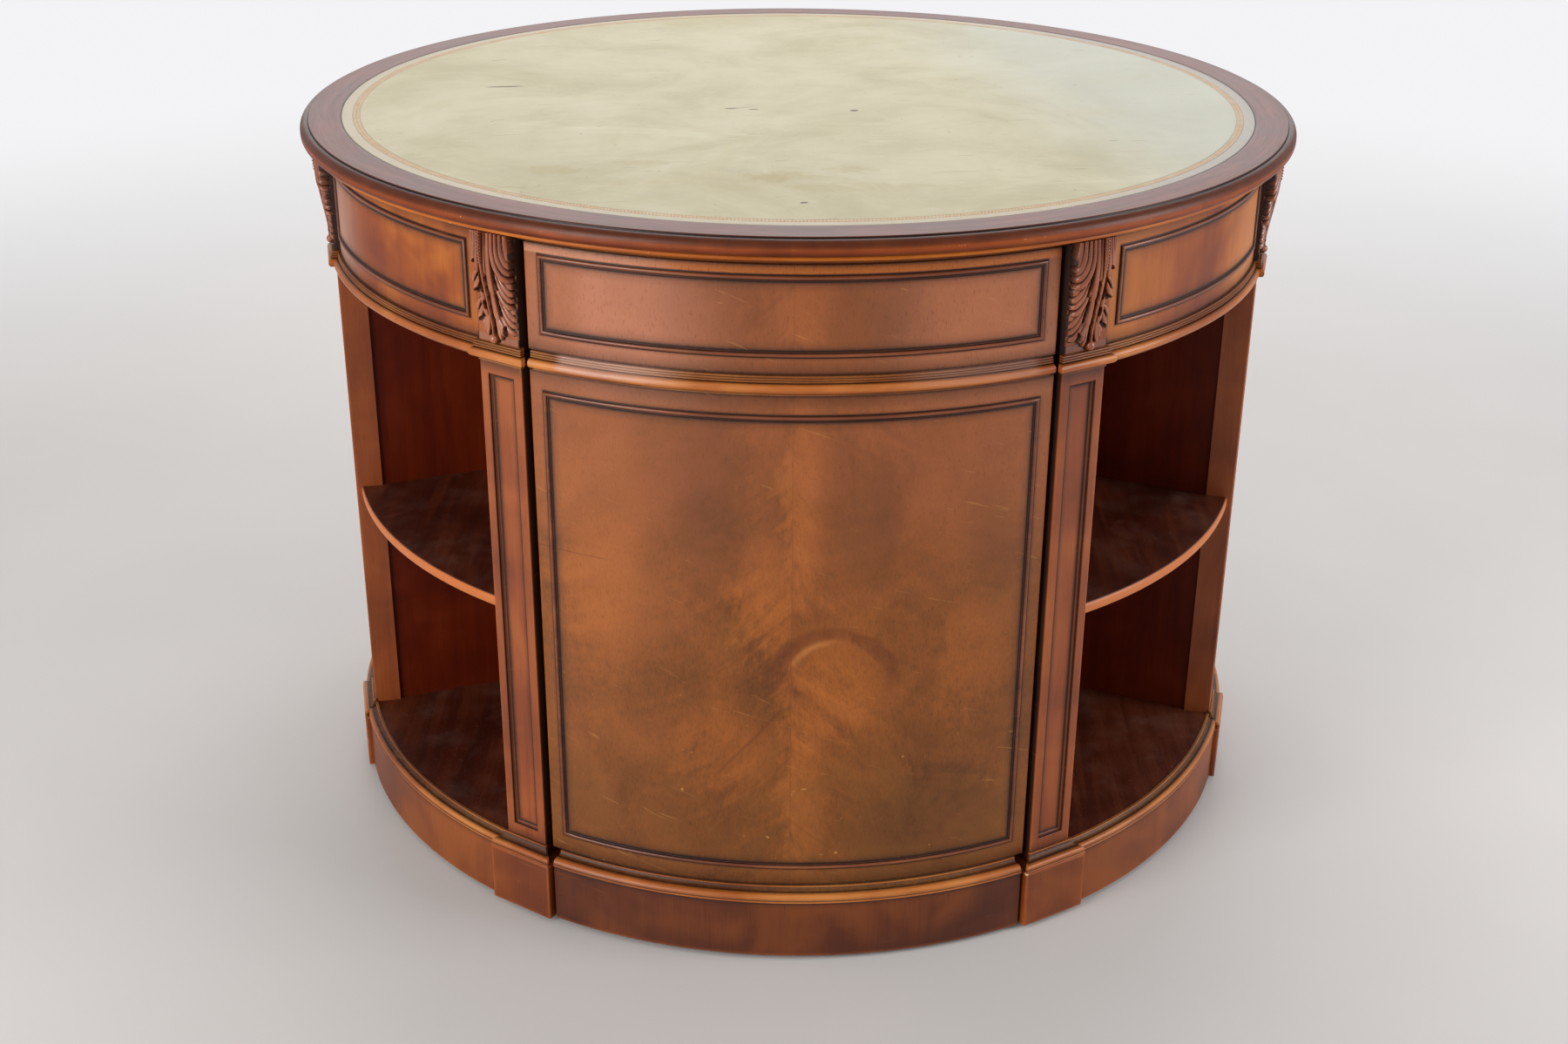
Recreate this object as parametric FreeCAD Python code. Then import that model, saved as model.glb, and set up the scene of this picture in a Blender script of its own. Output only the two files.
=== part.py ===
import FreeCAD
import Part
import math
import os

# Round captain's desk with a pull-out captain's chair that closes the front of the drum.
# Millimetres and degrees. The origin is the centre of the footprint on the floor, +Z is up
# and the chair rolls out towards -Y. Angles run from the front (-Y) towards +X.

# Overall
desk_height = 768.0
top_radius = 535.0

# Top
rim_width = 43.0
rim_thickness = 17.0
rim_flat_inset = 8.0
rim_quirk_depth = 1.5
rim_upper_round = 8.0
rim_lower_round = 5.0
leather_thickness = 1.5
leather_fit = 0.2
under_moulding_height = 13.0
under_moulding_setback = 7.0
under_bead_height = 5.0
under_bead_rise = 2.5
under_cove_rise = 3.5
top_overhang = 30.0

# Posts
front_post_angle = 32.4
side_post_angle = 76.3
rear_bay_count = 5
post_width = 50.0
post_depth = 29.0
post_projection = 5.0
post_field_margin = 9.0
post_field_end_margin = 12.0
post_field_step = 3.0
post_step_depth = 2.5
post_field_depth = 4.5

# Plinth
glide_height = 5.0
glide_radius = 11.0
glide_across = 29.0
glide_sides = 8
plinth_height = 65.0
plinth_projection = 14.0
plinth_thickness = 20.0
plinth_moulding_height = 13.0
plinth_moulding_lip = 1.5
base_moulding_height = 16.0
plinth_fillet_height = 3.0
plinth_ovolo_height = 5.5
plinth_ovolo_rise = 1.3
plinth_shoulder = 8.0
plinth_cove_rise = 1.5
plinth_top_lip = 1.0
block_projection = 13.5
block_depth = 36.0
board_thickness = 12.0
board_lip = 3.0

# Frieze and waist
frieze_height = 105.0
frieze_thickness = 20.0
waist_height = 20.0
waist_projection = 9.0
capital_projection = 8.0
waist_cove_height = 3.5
waist_torus_height = 9.5
waist_foot = 1.0
waist_torus_seat = 4.0
waist_band = 5.0
bead_width = 7.0
bead_proud = 2.5
frieze_bead_side_margin = 14.0
frieze_bead_top_margin = 11.0
frieze_bead_bottom_margin = 16.0

# Carved leaf on the head of each post
leaf_width = 48.0
leaf_top_thickness = 14.0
leaf_low_thickness = 4.0
leaf_hollow = 1.8
leaf_lobes = 3
leaf_lobe_height = 24.0
leaf_lobe_drop = 16.0
leaf_notch = 5.0
leaf_notch_growth = 2.0
leaf_curl = 7.0
leaf_end_margin = 2.0
leaf_top_gap = 0.5

# Bookcase
shelf_rise = 264.0
shelf_thickness = 12.0
panel_thickness = 12.0
partition_setback = 3.5
core_radius = 240.0
kneehole_end = 50.0
kneehole_side_gap = 3.0
kneehole_floor_gap = 10.0

# Chair back
chair_panel_gap = 5.5
chair_plinth_gap = 3.5
chair_waist_gap = 2.5
chair_top_gap = 2.0
chair_panel_thickness = 22.0
chair_bead_side_margin = 14.0
chair_bead_end_margin = 19.0

# Chair seat
chair_side_clearance = 9.0
chair_stop_gap = 0.3
seat_height = 470.0
seat_cushion_thickness = 55.0
seat_cushion_bevel = 12.0
seat_cushion_setback = 6.0
seat_board_thickness = 10.0
seat_rail_height = 55.0
seat_rail_thickness = 22.0
back_cushion_thickness = 34.0
back_cushion_drop = 40.0
back_cushion_inset = 52.0
back_cushion_bevel = 10.0
cushion_gap = 0.3
leg_width = 44.0
leg_foot_width = 32.0
rear_leg_width = 40.0
rear_leg_spread = 150.0
rear_leg_setback = 70.0
arm_drop = 66.0
arm_width = 34.0
arm_thickness = 28.0
arm_front_setback = 86.0
arm_support_setback = 112.0
arm_support_foot = 32.0
arm_support_head = 22.0

# Sizes that follow from the ones above
drum_radius = top_radius - top_overhang
leather_radius = top_radius - rim_width
post_radius = drum_radius + post_projection
post_inner = post_radius - post_depth
post_half = post_width / 2
plinth_radius = drum_radius + plinth_projection
block_radius = post_radius + block_projection
block_half = post_half + block_projection
board_radius = drum_radius + board_lip

plinth_top = glide_height + plinth_height
board_top = plinth_top + board_thickness
carcase_top = desk_height - rim_thickness - under_moulding_height
rim_bottom = desk_height - rim_thickness
frieze_bottom = carcase_top - frieze_height
waist_bottom = frieze_bottom - waist_height
shelf_bottom = board_top + shelf_rise

full_turn = 360.0
rear_step = (full_turn - 2 * side_post_angle) / rear_bay_count
post_angles = [front_post_angle]
post_angles += [side_post_angle + step * rear_step for step in range(rear_bay_count + 1)]
post_angles += [full_turn - front_post_angle]
bays = list(zip(post_angles[:-1], post_angles[1:]))

# Construction bodies reach this far past the drum before they are trimmed.
reach = top_radius * 1.2
trim_slack = 1.0
edge_slack = 0.01

CENTRE = FreeCAD.Vector(0, 0, 0)
UP = FreeCAD.Vector(0, 0, 1)
ARC = 0

nodes = {}


def line(start, end):
    return Part.LineSegment(start, end).toShape()


def curve(arc, flats):
    """The arc itself where flats is ARC, or else the straight edges that stand for it."""
    if flats == ARC:
        return [arc]
    stops = arc.discretize(Number=flats + 1)
    return [line(*ends) for ends in zip(stops[:-1], stops[1:])]


def outline(points, place):
    """Closed face through the points.

    A point with a third value is the middle of a curve to the next point. The value says how
    many flats the curve is cut into, and ARC leaves it round.
    """
    edges = []
    start = place(*points[0][:2])
    middle = None
    for point in points[1:] + points[:1]:
        here = place(*point[:2])
        if len(point) == 3:
            middle = here
            flats = point[2]
            continue
        if middle is None:
            edges.append(line(start, here))
        else:
            edges += curve(Part.Arc(start, middle, here).toShape(), flats)
        start = here
        middle = None
    return Part.Face(Part.Wire(edges))


def bow(start, end, rise, flats):
    """Middle point of a curve that rises to the right of the straight way from start to end."""
    run = end[0] - start[0]
    climb = end[1] - start[1]
    length = math.hypot(run, climb)
    across = (start[0] + end[0]) / 2 + climb / length * rise
    height = (start[1] + end[1]) / 2 - run / length * rise
    return across, height, flats


def outward(shape):
    """The same solids with their faces pointing outwards."""
    if shape.Volume < 0:
        shape.reverse()
    return shape


def whole(shape):
    """The largest solid of a trimmed shape, with split faces joined again."""
    return max(shape.Solids, key=lambda solid: solid.Volume).removeSplitter()


def ring(points, start=0.0, end=full_turn):
    """A section of (radius, height) points turned about the drum's axis."""
    face = outline(points, lambda radius, height: FreeCAD.Vector(0, -radius, height))
    face.rotate(CENTRE, UP, start)
    return outward(face.revolve(CENTRE, UP, end - start))


def drum(radius, low, high):
    return Part.makeCylinder(radius, high - low, FreeCAD.Vector(0, 0, low))


def slab(points, low, high):
    """A plan outline of (x, y) points raised from low to high."""
    face = outline(points, lambda x, y: FreeCAD.Vector(x, y, low))
    return outward(face.extrude(UP * (high - low)))


def spot(angle, radial, across):
    """Plan point that lies radial outwards along a post's angle and across to its side."""
    turn = math.radians(angle)
    x = radial * math.sin(turn) + across * math.cos(turn)
    y = across * math.sin(turn) - radial * math.cos(turn)
    return x, y


def turned(shape, angle):
    """A copy of a shape turned about the drum's axis."""
    copy = shape.copy()
    copy.rotate(CENTRE, UP, angle)
    return copy


def at_posts(shape):
    """Copies of a shape made at the front, one at every post."""
    return [turned(shape, angle) for angle in post_angles]


def post_box(angle, inner, outer, across_low, across_high, low, high):
    """A box square to a post: inner to outer along its angle, low to high across it."""
    corners = [
        spot(angle, inner, across_low),
        spot(angle, outer, across_low),
        spot(angle, outer, across_high),
        spot(angle, inner, across_high),
    ]
    return slab(corners, low, high)


def between(points, span, inset):
    """A ring section across the front, its ends parallel to the sides of posts a span apart."""
    low = min(point[1] for point in points) - trim_slack
    high = max(point[1] for point in points) + trim_slack
    half = span / 2
    blank = ring(points, -half, half)
    blank = blank.cut(post_box(-half, 0, reach, -reach, inset, low, high))
    return whole(blank.cut(post_box(half, 0, reach, -inset, reach, low, high)))


def flat_backed(shape, end_radius, span, inset):
    """A rail between posts a span apart, planed flat behind from end to end."""
    end_angle = math.radians(span / 2) - math.asin(inset / end_radius)
    back = end_radius * math.cos(end_angle)
    low = shape.BoundBox.ZMin - trim_slack
    high = shape.BoundBox.ZMax + trim_slack
    behind = slab([(-reach, -back), (reach, -back), (reach, 0), (-reach, 0)], low, high)
    return whole(shape.cut(behind))


def mitred(points, span, corner_radius):
    """A moulding between posts a span apart, mitred where it meets the trim round each post.

    The mitre leaves the corner between the post's side and the moulding's own face.
    """
    low = min(point[1] for point in points) - trim_slack
    high = max(point[1] for point in points) + trim_slack
    corner = math.sqrt(corner_radius**2 - post_half**2)
    past = reach - corner
    last_plan = [
        spot(span / 2, 0, -post_half),
        spot(span / 2, corner, -post_half),
        spot(span / 2, reach, -post_half - past),
        spot(span / 2, reach, reach),
        spot(span / 2, 0, reach),
    ]
    last = slab(last_plan, low, high)
    blank = ring(points, -span / 2, span / 2)
    return whole(blank.cut(last).cut(mirrored(last)))


def crossing(point, direction, other, other_direction):
    """Plan point where two lines cross."""
    px, py = point
    dx, dy = direction
    qx, qy = other
    ex, ey = other_direction
    scale = ((qx - px) * ey - (qy - py) * ex) / (dx * ey - dy * ex)
    return px + scale * dx, py + scale * dy


def mirrored(shape):
    return outward(shape.mirror(CENTRE, FreeCAD.Vector(1, 0, 0)))


def group(shapes):
    return Part.makeCompound(shapes)


def glide(x, y):
    """A many-sided pad under a foot."""
    corners = []
    for count in range(glide_sides):
        turn = math.radians(full_turn * (count + 0.5) / glide_sides)
        corners.append((x + glide_radius * math.cos(turn), y + glide_radius * math.sin(turn)))
    return slab(corners, 0, glide_height)


def in_bays(make):
    """One piece in every bay; make(span) gives it across the front for posts a span apart."""
    made = {}
    pieces = []
    for start, end in bays:
        span = round(end - start, 6)
        if span not in made:
            made[span] = make(span)
        pieces.append(turned(made[span], (start + end) / 2))
    return pieces


# ---------------------------------------------------------------- moulding sections


def waist_steps(projection, low):
    """Cove, torus and flat band as (projection, height) points, from the bottom up."""
    torus_low = (waist_torus_seat, low + waist_cove_height)
    torus_high = (waist_torus_seat, low + waist_cove_height + waist_torus_height)
    return [
        (waist_foot, low),
        torus_low,
        bow(torus_low, torus_high, projection - waist_torus_seat, 3),
        torus_high,
        (waist_band, torus_high[1]),
        (waist_band, low + waist_height),
    ]


def plinth_steps(projection, low, height):
    """Fillet, ovolo and cove as (projection, height) points, from the bottom up."""
    fillet = (projection, low + plinth_fillet_height)
    shoulder = (plinth_shoulder, fillet[1] + plinth_ovolo_height)
    lip = (plinth_top_lip, low + height)
    return [
        (projection, low),
        fillet,
        bow(fillet, shoulder, plinth_ovolo_rise, 2),
        shoulder,
        bow(shoulder, lip, -plinth_cove_rise, 2),
        lip,
    ]


def section(steps, face_radius, back_radius):
    """A moulding's steps set on a round face, closed at the back."""
    low = steps[0][1]
    high = steps[-1][1]
    front = [(face_radius + step[0], *step[1:]) for step in steps]
    return [(back_radius, low)] + front + [(back_radius, high)]


def wrapped(steps, corner_radius):
    """A moulding across a post's face that returns along both sides to the bays' mouldings."""
    low = steps[0][1]
    high = steps[-1][1]
    across = section(steps, post_radius, post_inner)
    across_face = outline(across, lambda y, z: FreeCAD.Vector(-block_half, -y, z))
    front = outward(across_face.extrude(FreeCAD.Vector(2 * block_half, 0, 0)))
    right = [(post_half + step[0], *step[1:]) for step in steps]
    left = [(-x, *rest) for x, *rest in reversed(right)]
    sides_face = outline(right + left, lambda x, z: FreeCAD.Vector(x, -post_inner, z))
    sides = outward(sides_face.extrude(FreeCAD.Vector(0, -2 * post_depth, 0)))
    corner = math.sqrt(corner_radius**2 - post_half**2)
    past = block_half - post_half
    behind_plan = [
        (post_half, -corner),
        (post_half + past, -corner - past),
        (post_half + past, 0),
        (post_half, 0),
    ]
    behind = slab(behind_plan, low - trim_slack, high + trim_slack)
    wrap = front.common(sides).cut(post_core(0, low, high))
    return whole(wrap.cut(behind).cut(mirrored(behind)))


# ---------------------------------------------------------------- top


def make_top():
    leather_bottom = desk_height - leather_thickness
    rim_round = (top_radius, desk_height - rim_quirk_depth - rim_upper_round)
    rim_flat = (top_radius - rim_flat_inset, desk_height - rim_quirk_depth)
    rim = [
        (leather_radius, rim_bottom),
        (top_radius - rim_lower_round, rim_bottom),
        (top_radius, rim_bottom + rim_lower_round),
        rim_round,
        bow(rim_round, rim_flat, rim_upper_round * (1 - math.sqrt(0.5)), 3),
        rim_flat,
        (rim_flat[0], desk_height),
        (leather_radius, desk_height),
    ]
    bead_radius = top_radius - under_moulding_setback - under_bead_rise
    bead_low = (bead_radius, rim_bottom - under_bead_height)
    bead_high = (bead_radius, rim_bottom)
    cove_low = (board_radius, carcase_top)
    board = [
        (0, carcase_top),
        cove_low,
        bow(cove_low, bead_low, -under_cove_rise, 2),
        bead_low,
        bow(bead_low, bead_high, under_bead_rise, 2),
        bead_high,
        (leather_radius, rim_bottom),
        (leather_radius, leather_bottom),
        (0, leather_bottom),
    ]
    nodes["top_board"] = ring(board)
    nodes["top_rim"] = ring(rim)
    nodes["top_leather"] = drum(leather_radius - leather_fit, leather_bottom, desk_height)


# ---------------------------------------------------------------- posts


def post_core(angle, low, high):
    """A post's plain body between two heights, before its field is sunk."""
    return post_box(angle, post_inner, post_radius, -post_half, post_half, low, high)


def sunk_field(margin, depth, low, high):
    """The tool that sinks a post's field."""
    half = post_half - margin
    return post_box(0, post_radius - depth, reach, -half, half, low, high)


def make_post():
    body = post_core(0, board_top, carcase_top)
    field_low = plinth_top + base_moulding_height + post_field_end_margin
    field_high = waist_bottom - post_field_end_margin
    step = post_field_step
    body = body.cut(sunk_field(post_field_margin, post_step_depth, field_low, field_high))
    deep = sunk_field(
        post_field_margin + step, post_field_depth, field_low + step, field_high - step
    )
    return whole(body.cut(deep))


def make_leaf():
    """A lobed outline cut through a leaf that thins from its head and curls out at its tip."""
    low = frieze_bottom + leaf_end_margin
    high = carcase_top - leaf_top_gap
    foot = (post_radius + leaf_low_thickness, low)
    curl_top = (foot[0], low + 2 * leaf_curl)
    head = (post_radius + leaf_top_thickness, high)
    side = [
        (post_radius, low),
        foot,
        bow(foot, curl_top, leaf_curl, 4),
        curl_top,
        bow(curl_top, head, -leaf_hollow, 3),
        head,
        (post_radius, high),
    ]
    half = leaf_width / 2
    profile = outline(side, lambda radius, height: FreeCAD.Vector(-half, -radius, height))
    body = outward(profile.extrude(FreeCAD.Vector(leaf_width, 0, 0)))

    right = [(half, high)]
    for count in range(leaf_lobes):
        lobe_top = high - count * leaf_lobe_height
        notch = half - leaf_notch - count * leaf_notch_growth
        right.append((half - count, lobe_top - leaf_lobe_drop))
        right.append((notch, lobe_top - leaf_lobe_height))
    right.append((leaf_curl, low))
    left = [(-across, height) for across, height in reversed(right)]
    face = outline(right + left, lambda x, z: FreeCAD.Vector(x, -post_radius, z))
    lobed = outward(face.extrude(FreeCAD.Vector(0, -leaf_top_thickness - trim_slack, 0)))
    return whole(body.common(lobed))


def make_posts():
    names = [
        "post_front_right",
        "post_side_right",
        "post_back_right",
        "post_rear_right",
        "post_rear_left",
        "post_back_left",
        "post_side_left",
        "post_front_left",
    ]
    for name, post in zip(names, at_posts(make_post())):
        nodes[name] = post
    nodes["acanthus_leaves"] = group(at_posts(make_leaf()))


def make_capital():
    return wrapped(waist_steps(capital_projection, waist_bottom), drum_radius)


def make_base_moulding():
    steps = plinth_steps(block_projection, plinth_top, base_moulding_height)
    board = drum(board_radius, plinth_top - trim_slack, board_top)
    return whole(wrapped(steps, board_radius).cut(board))


# ---------------------------------------------------------------- plinth


def make_plinth(base):
    inner = block_radius - block_depth
    block = post_box(0, inner, block_radius, -block_half, block_half, glide_height, plinth_top)
    glides = []
    for angle in post_angles:
        side = 1 if angle < full_turn / 2 else -1
        glides.append(glide(*spot(angle, block_radius - block_depth / 2, side * glide_across)))
    plain = [(0, glide_height), (plinth_radius, glide_height)]
    plain += [(plinth_radius, plinth_top), (0, plinth_top)]

    def rail(span):
        end_radius = plinth_radius - plinth_thickness
        return flat_backed(between(plain, span, block_half), end_radius, span, block_half)

    steps = plinth_steps(
        plinth_radius + plinth_moulding_lip - board_radius, plinth_top, plinth_moulding_height
    )
    moulding_section = section(steps, board_radius, board_radius)
    nodes["plinth_blocks"] = group(at_posts(block))
    nodes["post_bases"] = group(at_posts(base))
    nodes["plinth_rails"] = group(in_bays(rail))
    nodes["plinth_mouldings"] = group(
        in_bays(lambda span: mitred(moulding_section, span, board_radius))
    )
    nodes["glides"] = group(glides)


# ---------------------------------------------------------------- frieze


def bead_frame(span, inset, low, high):
    """An applied bead frame on the drum's face, across the front between two posts."""

    def plate(border, depth):
        inner = drum_radius - depth
        outer = drum_radius + bead_proud
        points = [(inner, low + border), (outer, low + border)]
        points += [(outer, high - border), (inner, high - border)]
        return between(points, span, inset + border)

    return whole(plate(0, 0).cut(plate(bead_width, trim_slack)))


def make_friezes(capital):
    end_radius = drum_radius - frieze_thickness
    plain = [(0, frieze_bottom), (drum_radius, frieze_bottom)]
    plain += [(drum_radius, carcase_top), (0, carcase_top)]
    moulded = section(waist_steps(waist_projection, waist_bottom), drum_radius, 0)

    def frieze(span):
        return flat_backed(between(plain, span, post_half), end_radius, span, post_half)

    def waist(span):
        return flat_backed(mitred(moulded, span, drum_radius), end_radius, span, post_half)

    friezes = in_bays(frieze)
    bead_low = frieze_bottom + frieze_bead_bottom_margin
    bead_high = carcase_top - frieze_bead_top_margin
    bead_inset = post_half + frieze_bead_side_margin
    beads = in_bays(lambda span: bead_frame(span, bead_inset, bead_low, bead_high))
    nodes["frieze_right"] = friezes[0]
    nodes["frieze_left"] = friezes[-1]
    nodes["rear_friezes"] = group(friezes[1:-1])
    nodes["frieze_beads"] = group(beads)
    nodes["waist_mouldings"] = group(in_bays(waist))
    nodes["post_capitals"] = group(at_posts(capital))


# ---------------------------------------------------------------- bookcase


kneehole_inner = spot(front_post_angle, post_inner, -post_half)[0] + kneehole_side_gap
kneehole_outer = kneehole_inner + panel_thickness
kneehole_back_rear = -kneehole_end + panel_thickness


def make_kneehole():
    turn = math.radians(front_post_angle)
    face_direction = (math.cos(turn), math.sin(turn))
    face_point = spot(front_post_angle, post_inner, 0)
    low = kneehole_floor_gap
    inner_front = crossing(face_point, face_direction, (kneehole_inner, 0), (0, 1))
    outer_front = crossing(face_point, face_direction, (kneehole_outer, 0), (0, 1))
    plan = [
        inner_front,
        outer_front,
        (kneehole_outer, -kneehole_end),
        (kneehole_inner, -kneehole_end),
    ]
    side = slab(plan, low, carcase_top)
    back_plan = [
        (-kneehole_outer, -kneehole_end),
        (kneehole_outer, -kneehole_end),
        (kneehole_outer, kneehole_back_rear),
        (-kneehole_outer, kneehole_back_rear),
    ]
    nodes["kneehole_side_right"] = side
    nodes["kneehole_side_left"] = mirrored(side)
    nodes["kneehole_back"] = slab(back_plan, low, carcase_top)


def make_side_partition():
    """The partition from the right side post to the rear corner of the kneehole."""
    near = spot(side_post_angle, post_inner, -(post_half - partition_setback))
    corner = (kneehole_outer, -kneehole_end)
    run = (near[0] - corner[0], near[1] - corner[1])
    length = math.hypot(*run)
    shift = (-run[1] / length * panel_thickness, run[0] / length * panel_thickness)
    far_corner = crossing((corner[0] + shift[0], corner[1] + shift[1]), run, corner, (0, 1))
    post_face = spot(side_post_angle, post_inner, 0)
    turn = math.radians(side_post_angle)
    far = crossing(far_corner, run, post_face, (math.cos(turn), math.sin(turn)))
    return slab([corner, near, far, far_corner], board_top, carcase_top)


def core_points(inset):
    """Corners of the rear core, from its right end at the kneehole back round to its left."""
    rear_angles = post_angles[2:-2]
    outer = [(kneehole_outer, kneehole_back_rear)]
    outer += [spot(angle, core_radius, 0) for angle in rear_angles]
    outer += [(-kneehole_outer, kneehole_back_rear)]
    lines = []
    for first, second in zip(outer[:-1], outer[1:]):
        run = (second[0] - first[0], second[1] - first[1])
        length = math.hypot(*run)
        shift = (-run[1] / length * inset, run[0] / length * inset)
        lines.append(((first[0] + shift[0], first[1] + shift[1]), run))
    base = ((0, kneehole_back_rear), (1, 0))
    lines = [base] + lines + [base]
    return [crossing(*one, *two) for one, two in zip(lines[:-1], lines[1:])]


def make_back_panels():
    outer = core_points(0)
    inner = core_points(panel_thickness)
    panels = []
    for count in range(len(outer) - 1):
        plan = [outer[count], outer[count + 1], inner[count + 1], inner[count]]
        panels.append(slab(plan, board_top, carcase_top))
    return panels


def make_rear_partitions(back_panels):
    half = panel_thickness / 2
    inner = core_radius - panel_thickness / 2
    partitions = []
    for angle in post_angles[2:-2]:
        blank = post_box(angle, inner, post_inner, -half, half, board_top, carcase_top)
        for panel in back_panels:
            blank = blank.cut(panel)
        partitions.append(whole(blank))
    return partitions


def bay_of(shape):
    """Which bay a piece lies in, or None for the middle of the desk."""
    centre = shape.CenterOfMass
    angle = math.degrees(math.atan2(centre.x, -centre.y)) % full_turn
    if math.hypot(centre.x, centre.y) < core_radius:
        return None
    for count, (start, end) in enumerate(bays):
        if start < angle < end:
            return count
    return None


def make_bookcase():
    side_partition = make_side_partition()
    panels = make_back_panels()
    rear_partitions = make_rear_partitions(panels)
    nodes["partition_right"] = side_partition
    nodes["partition_left"] = mirrored(side_partition)
    nodes["rear_partitions"] = group(rear_partitions)
    nodes["back_panels"] = group(panels)

    nose = shelf_thickness / 2
    shelf_high = shelf_bottom + shelf_thickness
    disc = ring(
        [
            (0, shelf_bottom),
            (drum_radius - nose, shelf_bottom),
            (drum_radius, shelf_bottom + nose / 2),
            (drum_radius, shelf_high - nose / 2),
            (drum_radius - nose, shelf_high),
            (0, shelf_high),
        ]
    )
    uprights = [nodes["partition_left"], nodes["partition_right"], nodes["kneehole_back"]]
    uprights += [nodes["kneehole_side_left"], nodes["kneehole_side_right"]]
    uprights += rear_partitions + panels
    uprights += [post_core(angle, board_top, carcase_top) for angle in post_angles]
    shelves = {bay_of(solid): solid for solid in disc.cut(uprights).Solids}
    nodes["shelf_right"] = shelves[0]
    nodes["shelf_left"] = shelves[len(bays) - 1]
    nodes["rear_shelves"] = group([shelves[count] for count in range(1, len(bays) - 1)])


def make_bottom_board():
    board = drum(board_radius, plinth_top, board_top)
    kneehole_plan = [
        (-kneehole_outer, -reach),
        (kneehole_outer, -reach),
        (kneehole_outer, kneehole_back_rear),
        (-kneehole_outer, kneehole_back_rear),
    ]
    cut_out = slab(kneehole_plan, plinth_top, board_top)
    for angle in (post_angles[0], post_angles[-1]):
        cut_out = cut_out.cut(post_core(angle, plinth_top, board_top))
    nodes["bottom_board"] = whole(board.cut(cut_out))


# ---------------------------------------------------------------- chair


chair_span = 2 * front_post_angle
chair_inner = drum_radius - chair_panel_thickness
chair_top = carcase_top - chair_top_gap
chair_half = spot(front_post_angle, post_inner, -post_half)[0] - chair_side_clearance
chair_front = -kneehole_end - chair_stop_gap
seat_board_top = seat_height - seat_cushion_thickness
seat_rail_top = seat_board_top - seat_board_thickness
seat_rail_bottom = seat_rail_top - seat_rail_height
arm_top = chair_top - arm_drop
arm_bottom = arm_top - arm_thickness


def chair_arc(points, gap, half):
    """A piece of the curved back that ends a gap short of the posts' sides or trim."""
    return between(points, chair_span, half + gap)


def round_face(radius, low, high):
    return [(chair_inner, low), (radius, low), (radius, high), (chair_inner, high)]


def make_chair_back():
    moulding_top = plinth_top + plinth_moulding_height
    nodes["chair_frieze"] = chair_arc(
        round_face(drum_radius, frieze_bottom, chair_top), chair_panel_gap, post_half
    )
    nodes["chair_back_panel"] = chair_arc(
        round_face(drum_radius, moulding_top, waist_bottom), chair_panel_gap, post_half
    )
    waist = section(waist_steps(waist_projection, waist_bottom), drum_radius, chair_inner)
    waist_rail = chair_arc(waist, chair_waist_gap, post_half + capital_projection)
    nodes["chair_plinth_rail"] = chair_arc(
        round_face(plinth_radius, glide_height, plinth_top), chair_plinth_gap, block_half
    )
    projection = plinth_radius + plinth_moulding_lip - drum_radius
    steps = plinth_steps(projection, plinth_top, plinth_moulding_height)
    plinth_moulding = chair_arc(
        section(steps, drum_radius, chair_inner), chair_plinth_gap, block_half
    )
    nodes["chair_mouldings"] = group([waist_rail, plinth_moulding])

    bead_inset = post_half + chair_panel_gap + chair_bead_side_margin
    frieze_bead = bead_frame(
        chair_span,
        bead_inset,
        frieze_bottom + frieze_bead_bottom_margin,
        carcase_top - frieze_bead_top_margin,
    )
    panel_bead = bead_frame(
        chair_span,
        bead_inset,
        moulding_top + chair_bead_end_margin,
        waist_bottom - chair_bead_end_margin,
    )
    nodes["chair_beads"] = group([frieze_bead, panel_bead])


def seat_plan(half, front, radius):
    """Plan of the seat: a straight front, straight sides and a back that follows the panel."""
    back = -math.sqrt(radius**2 - half**2)
    return [(half, front), (-half, front), (-half, back), (0, -radius, ARC), (half, back)]


def leg_centres():
    front = (chair_half - leg_width / 2, chair_front - leg_width / 2)
    rear = (rear_leg_spread, -(chair_inner - rear_leg_setback))
    return [front, rear]


def tapered(x, y, low_width, low, high_width, high):
    """A square leg or post that tapers on all four sides between two heights."""
    low_half = low_width / 2
    high_half = high_width / 2
    side = [(-low_half, low), (low_half, low), (high_half, high), (-high_half, high)]
    wide = max(low_half, high_half)
    along_x = outline(side, lambda across, z: FreeCAD.Vector(x - wide, y + across, z))
    along_y = outline(side, lambda across, z: FreeCAD.Vector(x + across, y - wide, z))
    along_x = outward(along_x.extrude(FreeCAD.Vector(2 * wide, 0, 0)))
    return whole(along_x.common(outward(along_y.extrude(FreeCAD.Vector(0, 2 * wide, 0)))))


def make_chair_legs():
    x, y = leg_centres()[0]
    front_leg = tapered(x, y, leg_foot_width, glide_height, leg_width, seat_rail_bottom)
    half = leg_width / 2
    plan = [(x - half, y - half), (x + half, y - half), (x + half, y + half)]
    plan += [(x - half, y + half)]
    front_leg = whole(front_leg.fuse(slab(plan, seat_rail_bottom, seat_rail_top)))

    rear_x, rear_y = leg_centres()[1]
    half = rear_leg_width / 2
    rear_plan = [(rear_x - half, rear_y + half), (rear_x + half, rear_y + half)]
    rear_plan += [(rear_x + half, -reach), (rear_x - half, -reach)]
    rear_leg = slab(rear_plan, glide_height, seat_rail_bottom)
    rear_leg = whole(rear_leg.common(drum(chair_inner, glide_height, seat_rail_bottom)))
    chair_glides = [glide(*centre) for centre in leg_centres()]
    nodes["chair_front_legs"] = group([front_leg, mirrored(front_leg)])
    nodes["chair_rear_legs"] = group([rear_leg, mirrored(rear_leg)])
    nodes["chair_glides"] = group(chair_glides + [mirrored(pad) for pad in chair_glides])


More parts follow.
